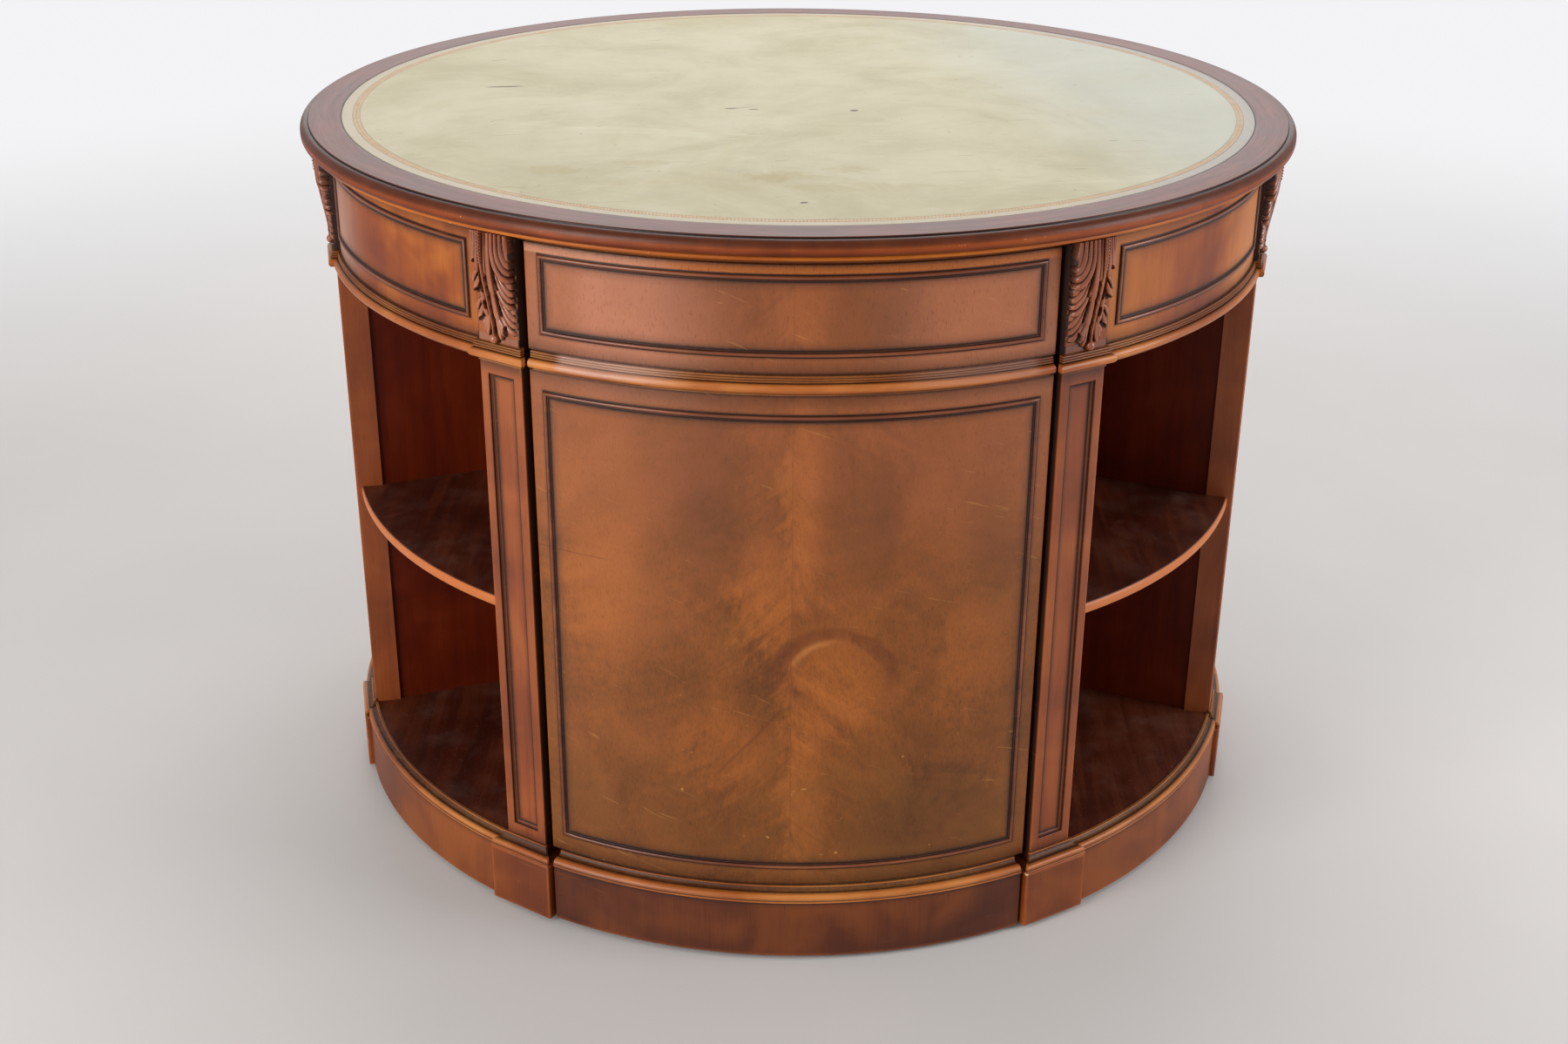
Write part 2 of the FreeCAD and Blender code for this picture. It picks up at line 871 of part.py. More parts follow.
def make_seat():
    rail = seat_rail_thickness
    inner_half = chair_half - rail
    leg_back = chair_front - leg_width
    low = seat_rail_bottom
    high = seat_rail_top
    limit = drum(chair_inner, low, high)
    side_plan = [(inner_half, leg_back), (chair_half, leg_back)]
    side_plan += [(chair_half, -reach), (inner_half, -reach)]
    side = whole(slab(side_plan, low, high).common(limit))
    leg_inner = chair_half - leg_width
    front_plan = [(-leg_inner, chair_front - rail), (leg_inner, chair_front - rail)]
    front_plan += [(leg_inner, chair_front), (-leg_inner, chair_front)]
    front = slab(front_plan, low, high)
    rear_blank = drum(chair_inner, low, high).cut(drum(chair_inner - rail, low, high))
    rear_plan = [(-inner_half, -reach), (inner_half, -reach)]
    rear_plan += [(inner_half, leg_back), (-inner_half, leg_back)]
    rear = whole(rear_blank.common(slab(rear_plan, low, high)))
    nodes["chair_seat_rails"] = group([front, side, mirrored(side), rear])
    nodes["chair_seat_board"] = slab(
        seat_plan(chair_half, chair_front, chair_inner), seat_rail_top, seat_board_top
    )

    cushion_half = chair_half - arm_width - cushion_gap
    cushion_front = chair_front - seat_cushion_setback
    plan = seat_plan(cushion_half, cushion_front, chair_inner - cushion_gap)
    cushion = slab(plan, seat_board_top, seat_height)
    crown = [edge for edge in cushion.Edges if edge.CenterOfMass.z > seat_height - edge_slack]
    nodes["chair_seat_cushion"] = cushion.makeChamfer(seat_cushion_bevel, crown)


def make_back_cushion():
    outer = chair_inner - cushion_gap
    inner = outer - back_cushion_thickness
    low = seat_height + cushion_gap
    high = chair_top - back_cushion_drop
    points = [(inner, low), (outer, low), (outer, high), (inner, high)]
    inset = post_half + chair_panel_gap + back_cushion_inset
    pad = between(points, chair_span, inset)
    edges = []
    for edge in pad.Edges:
        radii = [math.hypot(vertex.X, vertex.Y) for vertex in edge.Vertexes]
        if max(radii) < inner + edge_slack:
            edges.append(edge)
    nodes["chair_back_cushion"] = pad.makeChamfer(back_cushion_bevel, edges)


def make_arms():
    centre_x = chair_half - arm_width / 2
    half = arm_width / 2
    front = chair_front - arm_front_setback
    plan = [
        (centre_x - half, -reach),
        (centre_x + half, -reach),
        (centre_x + half, front - half),
        (centre_x, front, ARC),
        (centre_x - half, front - half),
    ]
    arm = slab(plan, arm_bottom, arm_top)
    arm = whole(arm.common(drum(chair_inner, arm_bottom, arm_top)))
    nodes["chair_arm_right"] = arm
    nodes["chair_arm_left"] = mirrored(arm)
    support = tapered(
        centre_x,
        chair_front - arm_support_setback,
        arm_support_foot,
        seat_board_top,
        arm_support_head,
        arm_bottom,
    )
    nodes["chair_arm_supports"] = group([support, mirrored(support)])


# ---------------------------------------------------------------- build

make_top()
make_posts()
make_plinth(make_base_moulding())
make_friezes(make_capital())
make_kneehole()
make_bookcase()
make_bottom_board()
make_chair_back()
make_chair_legs()
make_seat()
make_back_cushion()
make_arms()

os.makedirs("parts", exist_ok=True)
for node_name, shape in nodes.items():
    shape.exportStep("parts/" + node_name + ".step")
print(len(nodes), "nodes")
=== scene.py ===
import math

import bmesh
import bpy
import numpy as np
from mathutils import Matrix, Vector
from mathutils.bvhtree import BVHTree


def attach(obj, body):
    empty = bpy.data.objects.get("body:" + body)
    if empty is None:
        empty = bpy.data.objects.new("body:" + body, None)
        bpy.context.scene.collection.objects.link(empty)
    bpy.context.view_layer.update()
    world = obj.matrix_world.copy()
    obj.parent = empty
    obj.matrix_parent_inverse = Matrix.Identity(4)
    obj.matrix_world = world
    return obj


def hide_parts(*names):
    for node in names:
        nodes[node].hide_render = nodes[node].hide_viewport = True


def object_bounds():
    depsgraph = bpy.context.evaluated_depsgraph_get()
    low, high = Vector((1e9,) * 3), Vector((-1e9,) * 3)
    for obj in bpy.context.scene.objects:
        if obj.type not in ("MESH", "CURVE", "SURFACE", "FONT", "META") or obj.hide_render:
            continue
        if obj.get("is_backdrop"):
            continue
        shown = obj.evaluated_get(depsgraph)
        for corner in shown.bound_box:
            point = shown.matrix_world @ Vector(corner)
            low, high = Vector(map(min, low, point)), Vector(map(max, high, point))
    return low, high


# A round captain's desk in old mahogany: leather top, carved posts, moulded drum and the
# captain's chair that closes its front. Pieces are drawn in millimetres and made in metres.

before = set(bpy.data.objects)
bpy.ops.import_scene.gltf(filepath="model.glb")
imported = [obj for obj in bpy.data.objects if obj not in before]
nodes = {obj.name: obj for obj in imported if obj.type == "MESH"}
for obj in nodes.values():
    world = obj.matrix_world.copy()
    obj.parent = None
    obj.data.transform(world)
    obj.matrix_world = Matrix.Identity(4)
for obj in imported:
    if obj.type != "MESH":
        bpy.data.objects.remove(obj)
cad_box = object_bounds()

MM = 0.001

# ------------------------------------------------------------ the desk's own sizes

drum_radius = 505.0
top_radius = 535.0
leather_radius = 492.0
post_face = 510.0
post_back = 481.0
post_half = 25.0
board_radius = 508.0
plinth_radius = 519.0
block_face = 523.5
block_half = 38.5
glide_top = 5.0
plinth_top = 70.0
board_top = 82.0
waist_low = 613.0
frieze_low = 633.0
carcase_top = 738.0
rim_low = 751.0
desk_top = 768.0
shelf_low = 346.0
shelf_high = 358.0
core_radius = 240.0
kneehole_side = 251.6
kneehole_rear = -50.0
kneehole_outside = -38.0
partition_edge = 21.5
partition_half = 6.0
frieze_back = 485.0
rail_back = 499.0
chair_inside = 483.0
frieze_bead = (649.0, 727.0)
lathe_steps = 288
arc_points = 41

chair_turn = 32.4
side_turn = 76.3
rear_bays = 5
rear_turn = (360.0 - 2 * side_turn) / rear_bays
post_turns = [chair_turn]
post_turns += [side_turn + rear_turn * count for count in range(rear_bays + 1)]
post_turns += [360.0 - chair_turn]
bays = list(zip(post_turns[:-1], post_turns[1:]))

# ------------------------------------------------------------ finishes


class Wire:
    """A number or vector on its way through a finish; sums on wires add the nodes for them."""

    def __init__(self, finish, socket):
        self.finish = finish
        self.socket = socket

    def sum(self, operation, first, second=None):
        values = {0: first} if second is None else {0: first, 1: second}
        return self.finish.node("ShaderNodeMath", {"operation": operation}, values)

    def __add__(self, other):
        return self.sum("ADD", self, other)

    def __sub__(self, other):
        return self.sum("SUBTRACT", self, other)

    def __rsub__(self, other):
        return self.sum("SUBTRACT", other, self)

    def __mul__(self, other):
        return self.sum("MULTIPLY", self, other)

    def __truediv__(self, other):
        return self.sum("DIVIDE", self, other)

    def __pow__(self, other):
        return self.sum("POWER", self, other)

    def __neg__(self):
        return self.sum("MULTIPLY", self, -1.0)

    def __abs__(self):
        return self.sum("ABSOLUTE", self)

    __radd__ = __add__
    __rmul__ = __mul__

    def floor(self):
        return self.sum("FLOOR", self)

    def most(self, other):
        return self.sum("MAXIMUM", self, other)

    def least(self, other):
        return self.sum("MINIMUM", self, other)

    def rise(self, low, high):
        """0 below low, 1 above high and a smooth way between, or the other way round."""
        settings = {"interpolation_type": "SMOOTHSTEP"}
        if low < high:
            values = {"Value": self, "From Min": low, "From Max": high}
            return self.finish.node("ShaderNodeMapRange", settings, values)
        values = {"Value": self, "From Min": high, "From Max": low, "To Min": 1.0, "To Max": 0.0}
        return self.finish.node("ShaderNodeMapRange", settings, values)


class Finish:
    """A material with one shader, and the way to its nodes."""

    def __init__(self, name):
        self.material = bpy.data.materials.new("old_" + name)
        self.material.use_nodes = True
        self.tree = self.material.node_tree
        self.tree.nodes.clear()
        self.output = self.tree.nodes.new("ShaderNodeOutputMaterial")
        self.shader = self.tree.nodes.new("ShaderNodeBsdfPrincipled")
        self.tree.links.new(self.shader.outputs[0], self.output.inputs[0])

    def fill(self, socket, value):
        if isinstance(value, Wire):
            self.tree.links.new(value.socket, socket)
        else:
            socket.default_value = value

    def node(self, kind, settings=None, values=None, output=0):
        made = self.tree.nodes.new(kind)
        for key, value in (settings or {}).items():
            if key == "stops":
                stops = made.color_ramp.elements
                while len(stops) < len(value):
                    stops.new(0.5)
                for stop, (place, colour) in zip(stops, value):
                    stop.position = place
                    stop.color = colour
            else:
                setattr(made, key, value)
        for key, value in (values or {}).items():
            self.fill(made.inputs[key], value)
        return Wire(self, made.outputs[output])

    def set(self, **values):
        sockets = {socket.name.lower().replace(" ", "_"): socket for socket in self.shader.inputs}
        for key, value in values.items():
            self.fill(sockets[key], value)

    def place(self):
        """Where a point lies on its piece, as a vector."""
        return self.node("ShaderNodeTexCoord", output="Object")

    def split(self, vector):
        made = self.node("ShaderNodeSeparateXYZ", values={0: vector})
        sockets = made.socket.node.outputs
        return [Wire(self, sockets[axis]) for axis in range(3)]

    def join(self, x, y, z):
        return self.node("ShaderNodeCombineXYZ", values={0: x, 1: y, 2: z})

    def mark(self, name):
        return self.node("ShaderNodeAttribute", {"attribute_name": name}, output="Fac")

    def cloud(self, vector, scale, detail=3.0, roughness=0.55, distortion=0.0):
        values = {"Vector": vector, "Scale": scale, "Detail": detail}
        values |= {"Roughness": roughness, "Distortion": distortion}
        return self.node("ShaderNodeTexNoise", values=values)

    def drawn(self, x, y, z, detail=3.0, roughness=0.55, distortion=0.0):
        """A cloud drawn out along the ways that are scaled least."""
        return self.cloud(self.join(x, y, z), 1.0, detail, roughness, distortion)

    def shades(self, amount, low, high, *colours):
        """Dark, middle and light colour while the amount goes from low to high."""
        stops = [(place, tone(*colour)) for place, colour in zip((0.0, 0.5, 1.0), colours)]
        return self.ramp(amount.rise(low, high), *stops)

    def hide_cells(self, scale, edge):
        """The grain of hide: small cells with lines between them."""
        settings = {"feature": "DISTANCE_TO_EDGE"}
        values = {"Vector": self.place(), "Scale": scale}
        return self.node("ShaderNodeTexVoronoi", settings, values).rise(0.0, edge)

    def blend(self, amount, first, second, mode="MIX"):
        settings = {"data_type": "RGBA", "blend_type": mode}
        return self.node("ShaderNodeMix", settings, {0: amount, 6: first, 7: second}, output=2)

    def ramp(self, amount, *stops):
        return self.node("ShaderNodeValToRGB", {"stops": stops}, {0: amount})

    def bump(self, height, strength, distance):
        values = {"Height": height, "Strength": strength, "Distance": distance}
        self.set(normal=self.node("ShaderNodeBump", values=values))

    def around(self):
        """A point's way round the drum, its distance from the axis and its height, in metres."""
        x, y, z = self.split(self.place())
        turn = self.node("ShaderNodeMath", {"operation": "ARCTAN2"}, {0: x, 1: -y})
        out = (x * x + y * y) ** 0.5
        return turn * (drum_radius * MM), out, z


def tone(red, green, blue):
    """A colour as it is named on a screen, made linear."""
    return tuple((part / 255) ** 2.2 for part in (red, green, blue)) + (1.0,)


# Finishes that share a slot of the record.
slot_of = {
    "old_plinth_wood": "post_wood",
    "old_kick_wood": "post_wood",
    "old_shelf_wood": "carcase_wood",
    "old_amber_moulding": "moulding_wood",
    "old_bead_wood": "moulding_wood",
    "old_gilt_tooling": "desk_leather",
    "old_thread": "seat_leather",
}

# Dark of old polish, also the painted shade of hollows, quirks and places where parts meet.
polish_and_shade = tone(19, 9, 6)
bare_wood = tone(222, 176, 124)


def antiqued(finish, colour, point):
    """Old polish and painted shade dark in the hollows; arrises and crests rubbed through to
    the pale wood and warmed, partly as a painted highlight.
    """
    patch = finish.cloud(point, 260.0, 4.0, 0.7)
    dark = (finish.mark("grime") * (0.80 + 0.5 * patch)).least(1.0) * 0.93
    colour = finish.blend(dark, colour, polish_and_shade)
    rub = finish.mark("rub")
    broad = finish.cloud(point, 34.0, 3.0, 0.6)
    chips = (patch * 0.6 + broad * 0.55 + rub * 0.32).rise(0.955, 1.03) * rub.rise(0.1, 0.5)
    warm = finish.blend(rub * (0.06 + 0.40 * broad), colour, tone(202, 104, 46))
    return finish.blend(chips, warm, bare_wood), dark, chips


def timber(
    name, dark, middle, light, grain="up", drum=True, figure=1.0, gloss=0.34, mottle=0.55,
    dust=0.0, scratches=0.35, sheen=0.4, nosing=None, chip=None, coat=0.0, painted_light_stretches=(), dust_and_sheen=None,
):
    """Polished wood with open pores, a ribbon figure, cloudy colour and a worn surface.

    The grain runs up, round the drum or deep into it. A nosing colour lies where a piece is
    rubbed all along, as on the round edge of a shelf, and a chip is the place of one torn
    corner. A coat of polish shines on the crests only. Painted sheen and painted light lie
    on stretches that start, are full and end at ways round; some dust and a painted sheen
    lie between two heights beside the chair.
    """
    finish = Finish(name)
    place = finish.place()
    along, out, height = finish.around() if drum else finish.split(place)
    fine, wide = [620.0] * 3, [46.0] * 3
    lengthwise = ("round", "deep", "up").index(grain)
    fine[lengthwise], wide[lengthwise] = 26.0, 3.4
    pores = finish.drawn(along * fine[0], out * fine[1], height * fine[2], 3.0, 0.65)
    ribbon = finish.drawn(along * wide[0], out * wide[1], height * wide[2], 4.0, 0.6, 0.9)
    cloudy = finish.cloud(place, 7.0, 3.0, 0.55, 0.6)
    ribbon_share, pore_share, spread = 0.62 * figure, 0.16, 0.38
    level = ribbon * ribbon_share + cloudy * mottle + pores * pore_share
    low = 0.5 * (ribbon_share + mottle + pore_share) - spread / 2
    colour = finish.shades(level, low, low + spread, dark, middle, light)
    colour = finish.blend(pores.rise(0.56, 0.74) * 0.42, colour, tone(*dark), "MULTIPLY")
    if nosing:
        colour = finish.blend(finish.mark("rub").rise(0.3, 0.7), colour, tone(*nosing))
    # Stretches of painted sheen and painted light lie round the drum.
    for start, full, end, share, shade in painted_light_stretches:
        stretch = along.rise(start, full) * along.rise(end, end * 0.92) * share
        colour = finish.blend(stretch, colour, tone(*shade))
    colour, grime, chips = antiqued(finish, colour, place)
    # A pale band between two heights: some dust and a painted sheen.
    if dust_and_sheen:
        low, high = dust_and_sheen
        band = height.rise(low, low + 0.001) * height.rise(high, high - 0.001)
        left = along.rise(-0.08, -0.15) * along.rise(-0.226, -0.214) * 0.36
        right = along.rise(0.08, 0.15) * along.rise(0.240, 0.226) * 0.14
        colour = finish.blend(band * (left + right), colour, tone(220, 182, 166))
    if chip:
        settings = {"operation": "DISTANCE"}
        gap = finish.node("ShaderNodeVectorMath", settings, {0: place, 1: chip}, output=1)
        torn = (gap + (ribbon - 0.5) * 0.004 + (pores - 0.5) * 0.006).rise(0.0058, 0.0048)
        colour = finish.blend(torn, colour, tone(222, 186, 140))
    scratch = finish.drawn(
        along * 9.0, out * 9.0 + height * 160.0, height * 9.0, 2.0, 0.5, 2.2
    ).rise(0.66, 0.70) * scratches
    colour = finish.blend(scratch * 0.30, colour, tone(*light))
    if dust:
        flecks = finish.cloud(place, 420.0, 2.0, 0.6).rise(0.66, 0.72)
        haze = finish.cloud(place, 22.0, 3.0, 0.6).rise(0.45, 0.8)
        colour = finish.blend((flecks * 0.35 + haze * 0.16) * dust, colour, tone(170, 150, 135))
    rough = gloss + 0.16 * cloudy + 0.12 * grime + 0.18 * chips + 0.10 * pores + 0.1 * scratch
    finish.set(base_color=colour, roughness=rough, specular_ior_level=sheen)
    if coat:
        finish.set(coat_weight=(1.0 - grime * 1.3).most(0.0) * coat, coat_roughness=0.14)
    finish.bump(pores * -0.35 + ribbon * 0.15 - chips * 0.8 - scratch * 0.3, 0.35, 0.0004)
    return finish.material


def flame_veneer():
    """Book-matched flame mahogany: two leaves meet in a seam and soft clouds lie across them."""
    finish = Finish("flame_veneer")
    along, out, height = finish.around()
    place = finish.place()
    seam = 0.003
    away = along - seam
    leaf = abs(away)
    side = away.rise(-0.0004, 0.0004)
    # Short feathers lean away from the seam and die out towards the edges.
    lean = height + leaf * 0.9 - leaf * leaf * 1.6
    feather = finish.drawn(leaf * 9.0 + side * 0.15, side * 0.3, lean * 34.0, 5.0, 0.62, 1.0)
    near_seam = leaf.rise(0.15, 0.01)
    silk = finish.drawn(leaf * 150.0, side, lean * 60.0, 3.0, 0.6, 0.4)
    drift = finish.drawn(along * 5.5, 0.0, height * 5.0, 4.0, 0.6, 1.1)
    cloudy = finish.drawn(along * 14.0, 4.0, height * 11.0, 4.0, 0.6, 0.9)
    hair = finish.drawn(along * 620.0, out * 620.0, height * 130.0, 3.0, 0.7)
    bend = (cloudy - 0.5) * 0.06
    streak = (feather - 0.5) * 0.10 + (silk - 0.5) * 0.04
    level = (feather - 0.5) * (0.12 + 0.24 * near_seam) + (drift - 0.5) * 0.34
    level = level + (cloudy - 0.5) * 0.30 + (silk - 0.5) * (0.12 + 0.14 * near_seam)
    level = level + (hair - 0.5) * 0.56 + 0.5
    # Paler and darker clouds, each at its way along, height, width, rise and strength.
    clouds = (
        (0.015, 0.515, 0.017, 0.095, 0.19),
        (0.042, 0.318, 0.050, 0.055, 0.15),
        (0.018, 0.190, 0.022, 0.080, 0.14),
        (-0.190, 0.480, 0.055, 0.150, 0.17),
        (-0.025, 0.410, 0.032, 0.050, 0.15),
        (0.185, 0.330, 0.035, 0.060, 0.08),
        (-0.070, 0.530, 0.036, 0.090, -0.13),
        (-0.032, 0.300, 0.020, 0.040, -0.06),
        (-0.060, 0.240, 0.045, 0.050, 0.12),
        (0.078, 0.505, 0.034, 0.070, -0.13),
        (0.150, 0.150, 0.075, 0.060, -0.15),
        (0.205, 0.480, 0.030, 0.090, -0.08),
        (-0.060, 0.690, 0.050, 0.040, -0.07),
        (0.004, 0.690, 0.032, 0.030, 0.12),
        (0.080, 0.690, 0.040, 0.050, -0.18),
        (-0.190, 0.700, 0.070, 0.050, 0.12),
        (0.200, 0.690, 0.060, 0.050, 0.10),
    )
    for way, up, width, rise, strength in clouds:
        across = (along + bend + streak * 0.35 - way) / width
        over = (height + bend + streak - up) / rise
        level = level + (across * across + over * over).rise(1.9, 0.0) * strength
    colour = finish.ramp(
        level.rise(0.06, 0.98),
        (0.0, tone(70, 41, 16)),
        (0.38, tone(112, 64, 26)),
        (0.64, tone(141, 79, 32)),
        (1.0, tone(178, 101, 42)),
    )
    rosy = height.rise(0.34, 0.56) * 0.42 + (drift - 0.5) * 0.9
    colour = finish.blend(rosy.most(0.0).least(0.6), colour, tone(147, 84, 55))
    olive = height.rise(0.30, 0.14) * 0.30 + (cloudy - 0.56) * 1.6
    colour = finish.blend(olive.most(0.0).least(0.5), colour, tone(112, 72, 30))
    # A painted pinkish sheen over the left and right of the frieze and the top strip of the panel.
    pale = along.rise(-0.03, -0.14) * 0.36 + along.rise(0.05, 0.15) * 0.20
    pale = pale * (1.0 - along.rise(-0.180, -0.218) * 0.65)
    pale = pale * height.rise(0.628, 0.634).most(height.rise(0.588, 0.604) * 0.5)
    colour = finish.blend(pale * (0.75 + cloudy * 0.5), colour, tone(206, 138, 112))
    # The strip under the rim is painted brighter, warm amber and paler pink to the left: painted
    # light where the cove above shades it.
    warm = finish.blend(along.rise(-0.08, -0.16), tone(206, 112, 36), tone(222, 150, 114))
    colour = finish.blend(height.rise(0.7262, 0.7290) * (0.45 + cloudy * 0.5), colour, warm)
    # A dark vein arches over the lower leaf, and a fine one runs down from the seam.
    over_x = (along + bend * 0.5 + streak * 0.18 - 0.044) / 0.058
    over_z = (height + bend * 0.4 + streak * 0.12 - 0.316) / 0.054
    ring = (over_x * over_x + over_z * over_z) ** 0.5
    arch = abs(ring - 1.0).rise(0.19, 0.05) * over_z.rise(-0.35, 0.25)
    paler = abs(ring - 0.80).rise(0.10, 0.0) * over_z.rise(0.1, 0.6) * over_x.rise(0.1, -0.3)
    colour = finish.blend(paler * 0.5, colour, tone(188, 120, 62))
    crack = abs(along + bend * 0.25 + 0.009 - (height - 0.282) * 0.85).rise(0.0040, 0.0)
    crack = crack * height.rise(0.200, 0.215) * height.rise(0.292, 0.280)
    shake = abs(height + bend * 0.06 - 0.432).rise(0.0012, 0.0) * along.rise(-0.165, -0.19)
    vein = (arch * (silk * 1.5 + cloudy - 0.5) + crack * 0.6 + shake * 0.7).most(0.0).least(1.0)
    colour = finish.blend(vein * 0.55, colour, tone(84, 36, 20))
    colour = finish.blend(leaf.rise(0.0009, 0.0) * 0.28, colour, tone(96, 48, 22))
    colour = finish.blend(hair.rise(0.52, 0.72) * 0.46, colour, tone(96, 56, 32), "MULTIPLY")
    colour, grime, chips = antiqued(finish, colour, place)
    scores = finish.drawn(along * 16.0, out, height * 190.0 + along * 60.0, 2.0, 0.5, 1.2)
    scratch = scores.rise(0.70, 0.74)
    flecks = finish.cloud(place, 120.0, 2.0, 0.5).rise(0.735, 0.77) * height.rise(0.40, 0.10)
    colour = finish.blend((scratch * 0.18 + flecks * 0.6).least(1.0), colour, tone(196, 138, 76))
    rough = 0.31 + 0.12 * drift + 0.10 * hair + 0.15 * scratch + 0.1 * grime
    finish.set(base_color=colour, roughness=rough, specular_ior_level=0.36)
    finish.bump(hair * -0.3 + silk * 0.2 - scratch * 0.5, 0.3, 0.0004)
    return finish.material


def rim_wood():
    """The rim: a greyed, much handled flat and a redder round edge below its quirk."""
    finish = Finish("rim_wood")
    along, out, height = finish.around()
    place = finish.place()
    pores = finish.drawn(along * 30.0, out * 620.0, height * 620.0, 3.0, 0.65)
    ribbon = finish.drawn(along * 5.0, out * 60.0, height * 50.0, 4.0, 0.6, 0.7)
    cloudy = finish.cloud(place, 9.0, 3.0, 0.6, 0.5)
    # The round edge is put together from eight lengths of wood.
    lengths = 8.0
    board = (along * (lengths / (2 * math.pi * drum_radius * MM))).floor()
    shade = finish.node("ShaderNodeTexWhiteNoise", {"noise_dimensions": "1D"}, {"W": board})
    flats = (77, 37, 29), (102, 54, 44), (124, 71, 59)
    flat = finish.shades(ribbon * 0.6 + cloudy * 0.5, 0.34, 0.76, *flats)
    flat = finish.blend(out.rise(0.514, 0.524) * 0.55, flat, tone(78, 34, 19))
    edges = (92, 36, 14), (128, 56, 24), (160, 82, 34)
    edge = finish.shades(ribbon * 0.5 + cloudy * 0.4 + shade * 0.16, 0.28, 0.78, *edges)
    maroon = finish.blend(height.rise(0.7550, 0.7620) * 0.92, edge, tone(44, 15, 9))
    on_top = height.rise(0.7664, 0.7670)
    colour = finish.blend(on_top, maroon, flat)
    colour = finish.blend(pores.rise(0.58, 0.74) * 0.4, colour, tone(60, 34, 30), "MULTIPLY")
    colour, grime, chips = antiqued(finish, colour, place)
    scratch = finish.drawn(along * 14.0, out * 210.0, 0.0, 2.0, 0.5, 2.0)
    scratch = scratch.rise(0.67, 0.70) * 0.35 * on_top
    colour = finish.blend(scratch, colour, tone(150, 112, 98))
    rough = 0.25 + 0.14 * cloudy + 0.12 * pores + 0.16 * chips + 0.1 * scratch
    finish.set(base_color=colour, roughness=rough, specular_ior_level=0.24)
    finish.bump(pores * -0.4 - chips * 0.8 - scratch * 0.4, 0.35, 0.0004)
    return finish.material


def desk_leather():
    """Sage hide, faded and marked, inside a tooled border with a paler margin."""
    finish = Finish("desk_leather")
    place = finish.place()
    x, y, _ = finish.split(place)
    out = (x * x + y * y) ** 0.5
    cloudy = finish.cloud(place, 4.2, 5.0, 0.6, 0.8)
    blotch = finish.cloud(place, 13.0, 4.0, 0.65, 0.5)
    sages = (169, 158, 121), (183, 173, 138), (194, 184, 153)
    colour = finish.shades(cloudy * 0.7 + blotch * 0.35, 0.36, 0.68, *sages)
    fade = (x + y * 0.25 + cloudy * 0.12).rise(0.22, 0.44)
    colour = finish.blend(fade * 0.55, colour, tone(184, 190, 184))
    wash = finish.drawn(x * 6.0, y * 3.0, 5.0, 4.0, 0.6, 1.4).rise(0.56, 0.72)
    colour = finish.blend(wash * 0.30, colour, tone(176, 156, 104))
    pale = finish.drawn(x * 3.0, y * 7.0, 2.0, 4.0, 0.6, 1.0).rise(0.58, 0.74)
    colour = finish.blend(pale * 0.35, colour, tone(216, 212, 186))
    edge = (out + cloudy * 0.012).rise(0.470, 0.492)
    margin = finish.blend(x.rise(0.24, 0.36), tone(190, 174, 154), tone(160, 149, 143))
    colour = finish.blend(edge * 0.65, colour, margin)
    # Tooled border: two fine lines with a worn gilt ground between them.
    ground = out.rise(0.4715, 0.4735) * out.rise(0.4805, 0.4785)
    worn = finish.cloud(place, 60.0, 4.0, 0.7).rise(0.34, 0.62)
    colour = finish.blend(ground * (0.35 + 0.45 * worn), colour, tone(182, 138, 92))
    smudge = finish.cloud(place, 22.0, 4.0, 0.7, 1.2)
    colour = finish.blend(smudge.rise(0.67, 0.76) * 0.42, colour, tone(140, 110, 58))
    specks = finish.cloud(place, 120.0, 2.0, 0.6).rise(0.735, 0.77)
    colour = finish.blend(specks * 0.6, colour, tone(92, 70, 40))
    scuff = finish.drawn(x * 6.0 + y * 30.0, y * 90.0 - x * 22.0, 0.0, 2.0, 0.5, 1.8)
    scuff = scuff.rise(0.71, 0.735)
    colour = finish.blend(scuff * 0.4, colour, tone(128, 116, 80))
    # Ochre stains, each at its x, y, length, width and strength, broken up by the grain.
    stains = (
        (-0.010, -0.330, 0.060, 0.040, 0.50),
        (0.053, -0.300, 0.044, 0.026, 0.36),
        (-0.150, -0.284, 0.050, 0.022, 0.34),
        (-0.232, -0.313, 0.050, 0.030, 0.34),
        (0.070, -0.365, 0.200, 0.030, 0.22),
        (-0.050, -0.350, 0.260, 0.060, 0.16),
    )
    for across, up, length, width, strength in stains:
        over_x = (x - across) / (length / 2)
        over_y = (y - up) / (width / 2)
        stain = (over_x * over_x + over_y * over_y + (smudge - 0.5) * 5.0).rise(1.6, 0.0)
        colour = finish.blend(stain * strength, colour, tone(156, 132, 72))
    # Cuts and nicks, each at its x, y, length and width.
    nicks = (
        (-0.328, 0.041, 0.044, 0.0056),
        (-0.072, -0.053, 0.015, 0.0044),
        (-0.047, -0.056, 0.012, 0.0040),
        (0.061, -0.057, 0.010, 0.0080),
        (0.010, -0.418, 0.008, 0.0060),
    )
    for across, up, length, width in nicks:
        over_x = (x - across) / (length / 2)
        over_y = (y + (blotch - 0.5) * 0.003 - (x - across) * 0.15 - up) / (width / 2)
        nick = (over_x * over_x + over_y * over_y).rise(1.2, 0.5)
        colour = finish.blend(nick * 0.9, colour, tone(74, 50, 28))
    cells = finish.hide_cells(620.0, 0.16)
    colour = finish.blend(finish.mark("grime") * 0.8, colour, tone(60, 42, 24))
    rough = 0.40 + 0.16 * blotch + 0.06 * cells - 0.06 * ground
    finish.set(base_color=colour, roughness=rough, specular_ior_level=0.3)
    finish.bump(cells * 0.5 + blotch * 0.9 - scuff * 0.5, 0.35, 0.00025)
    return finish.material


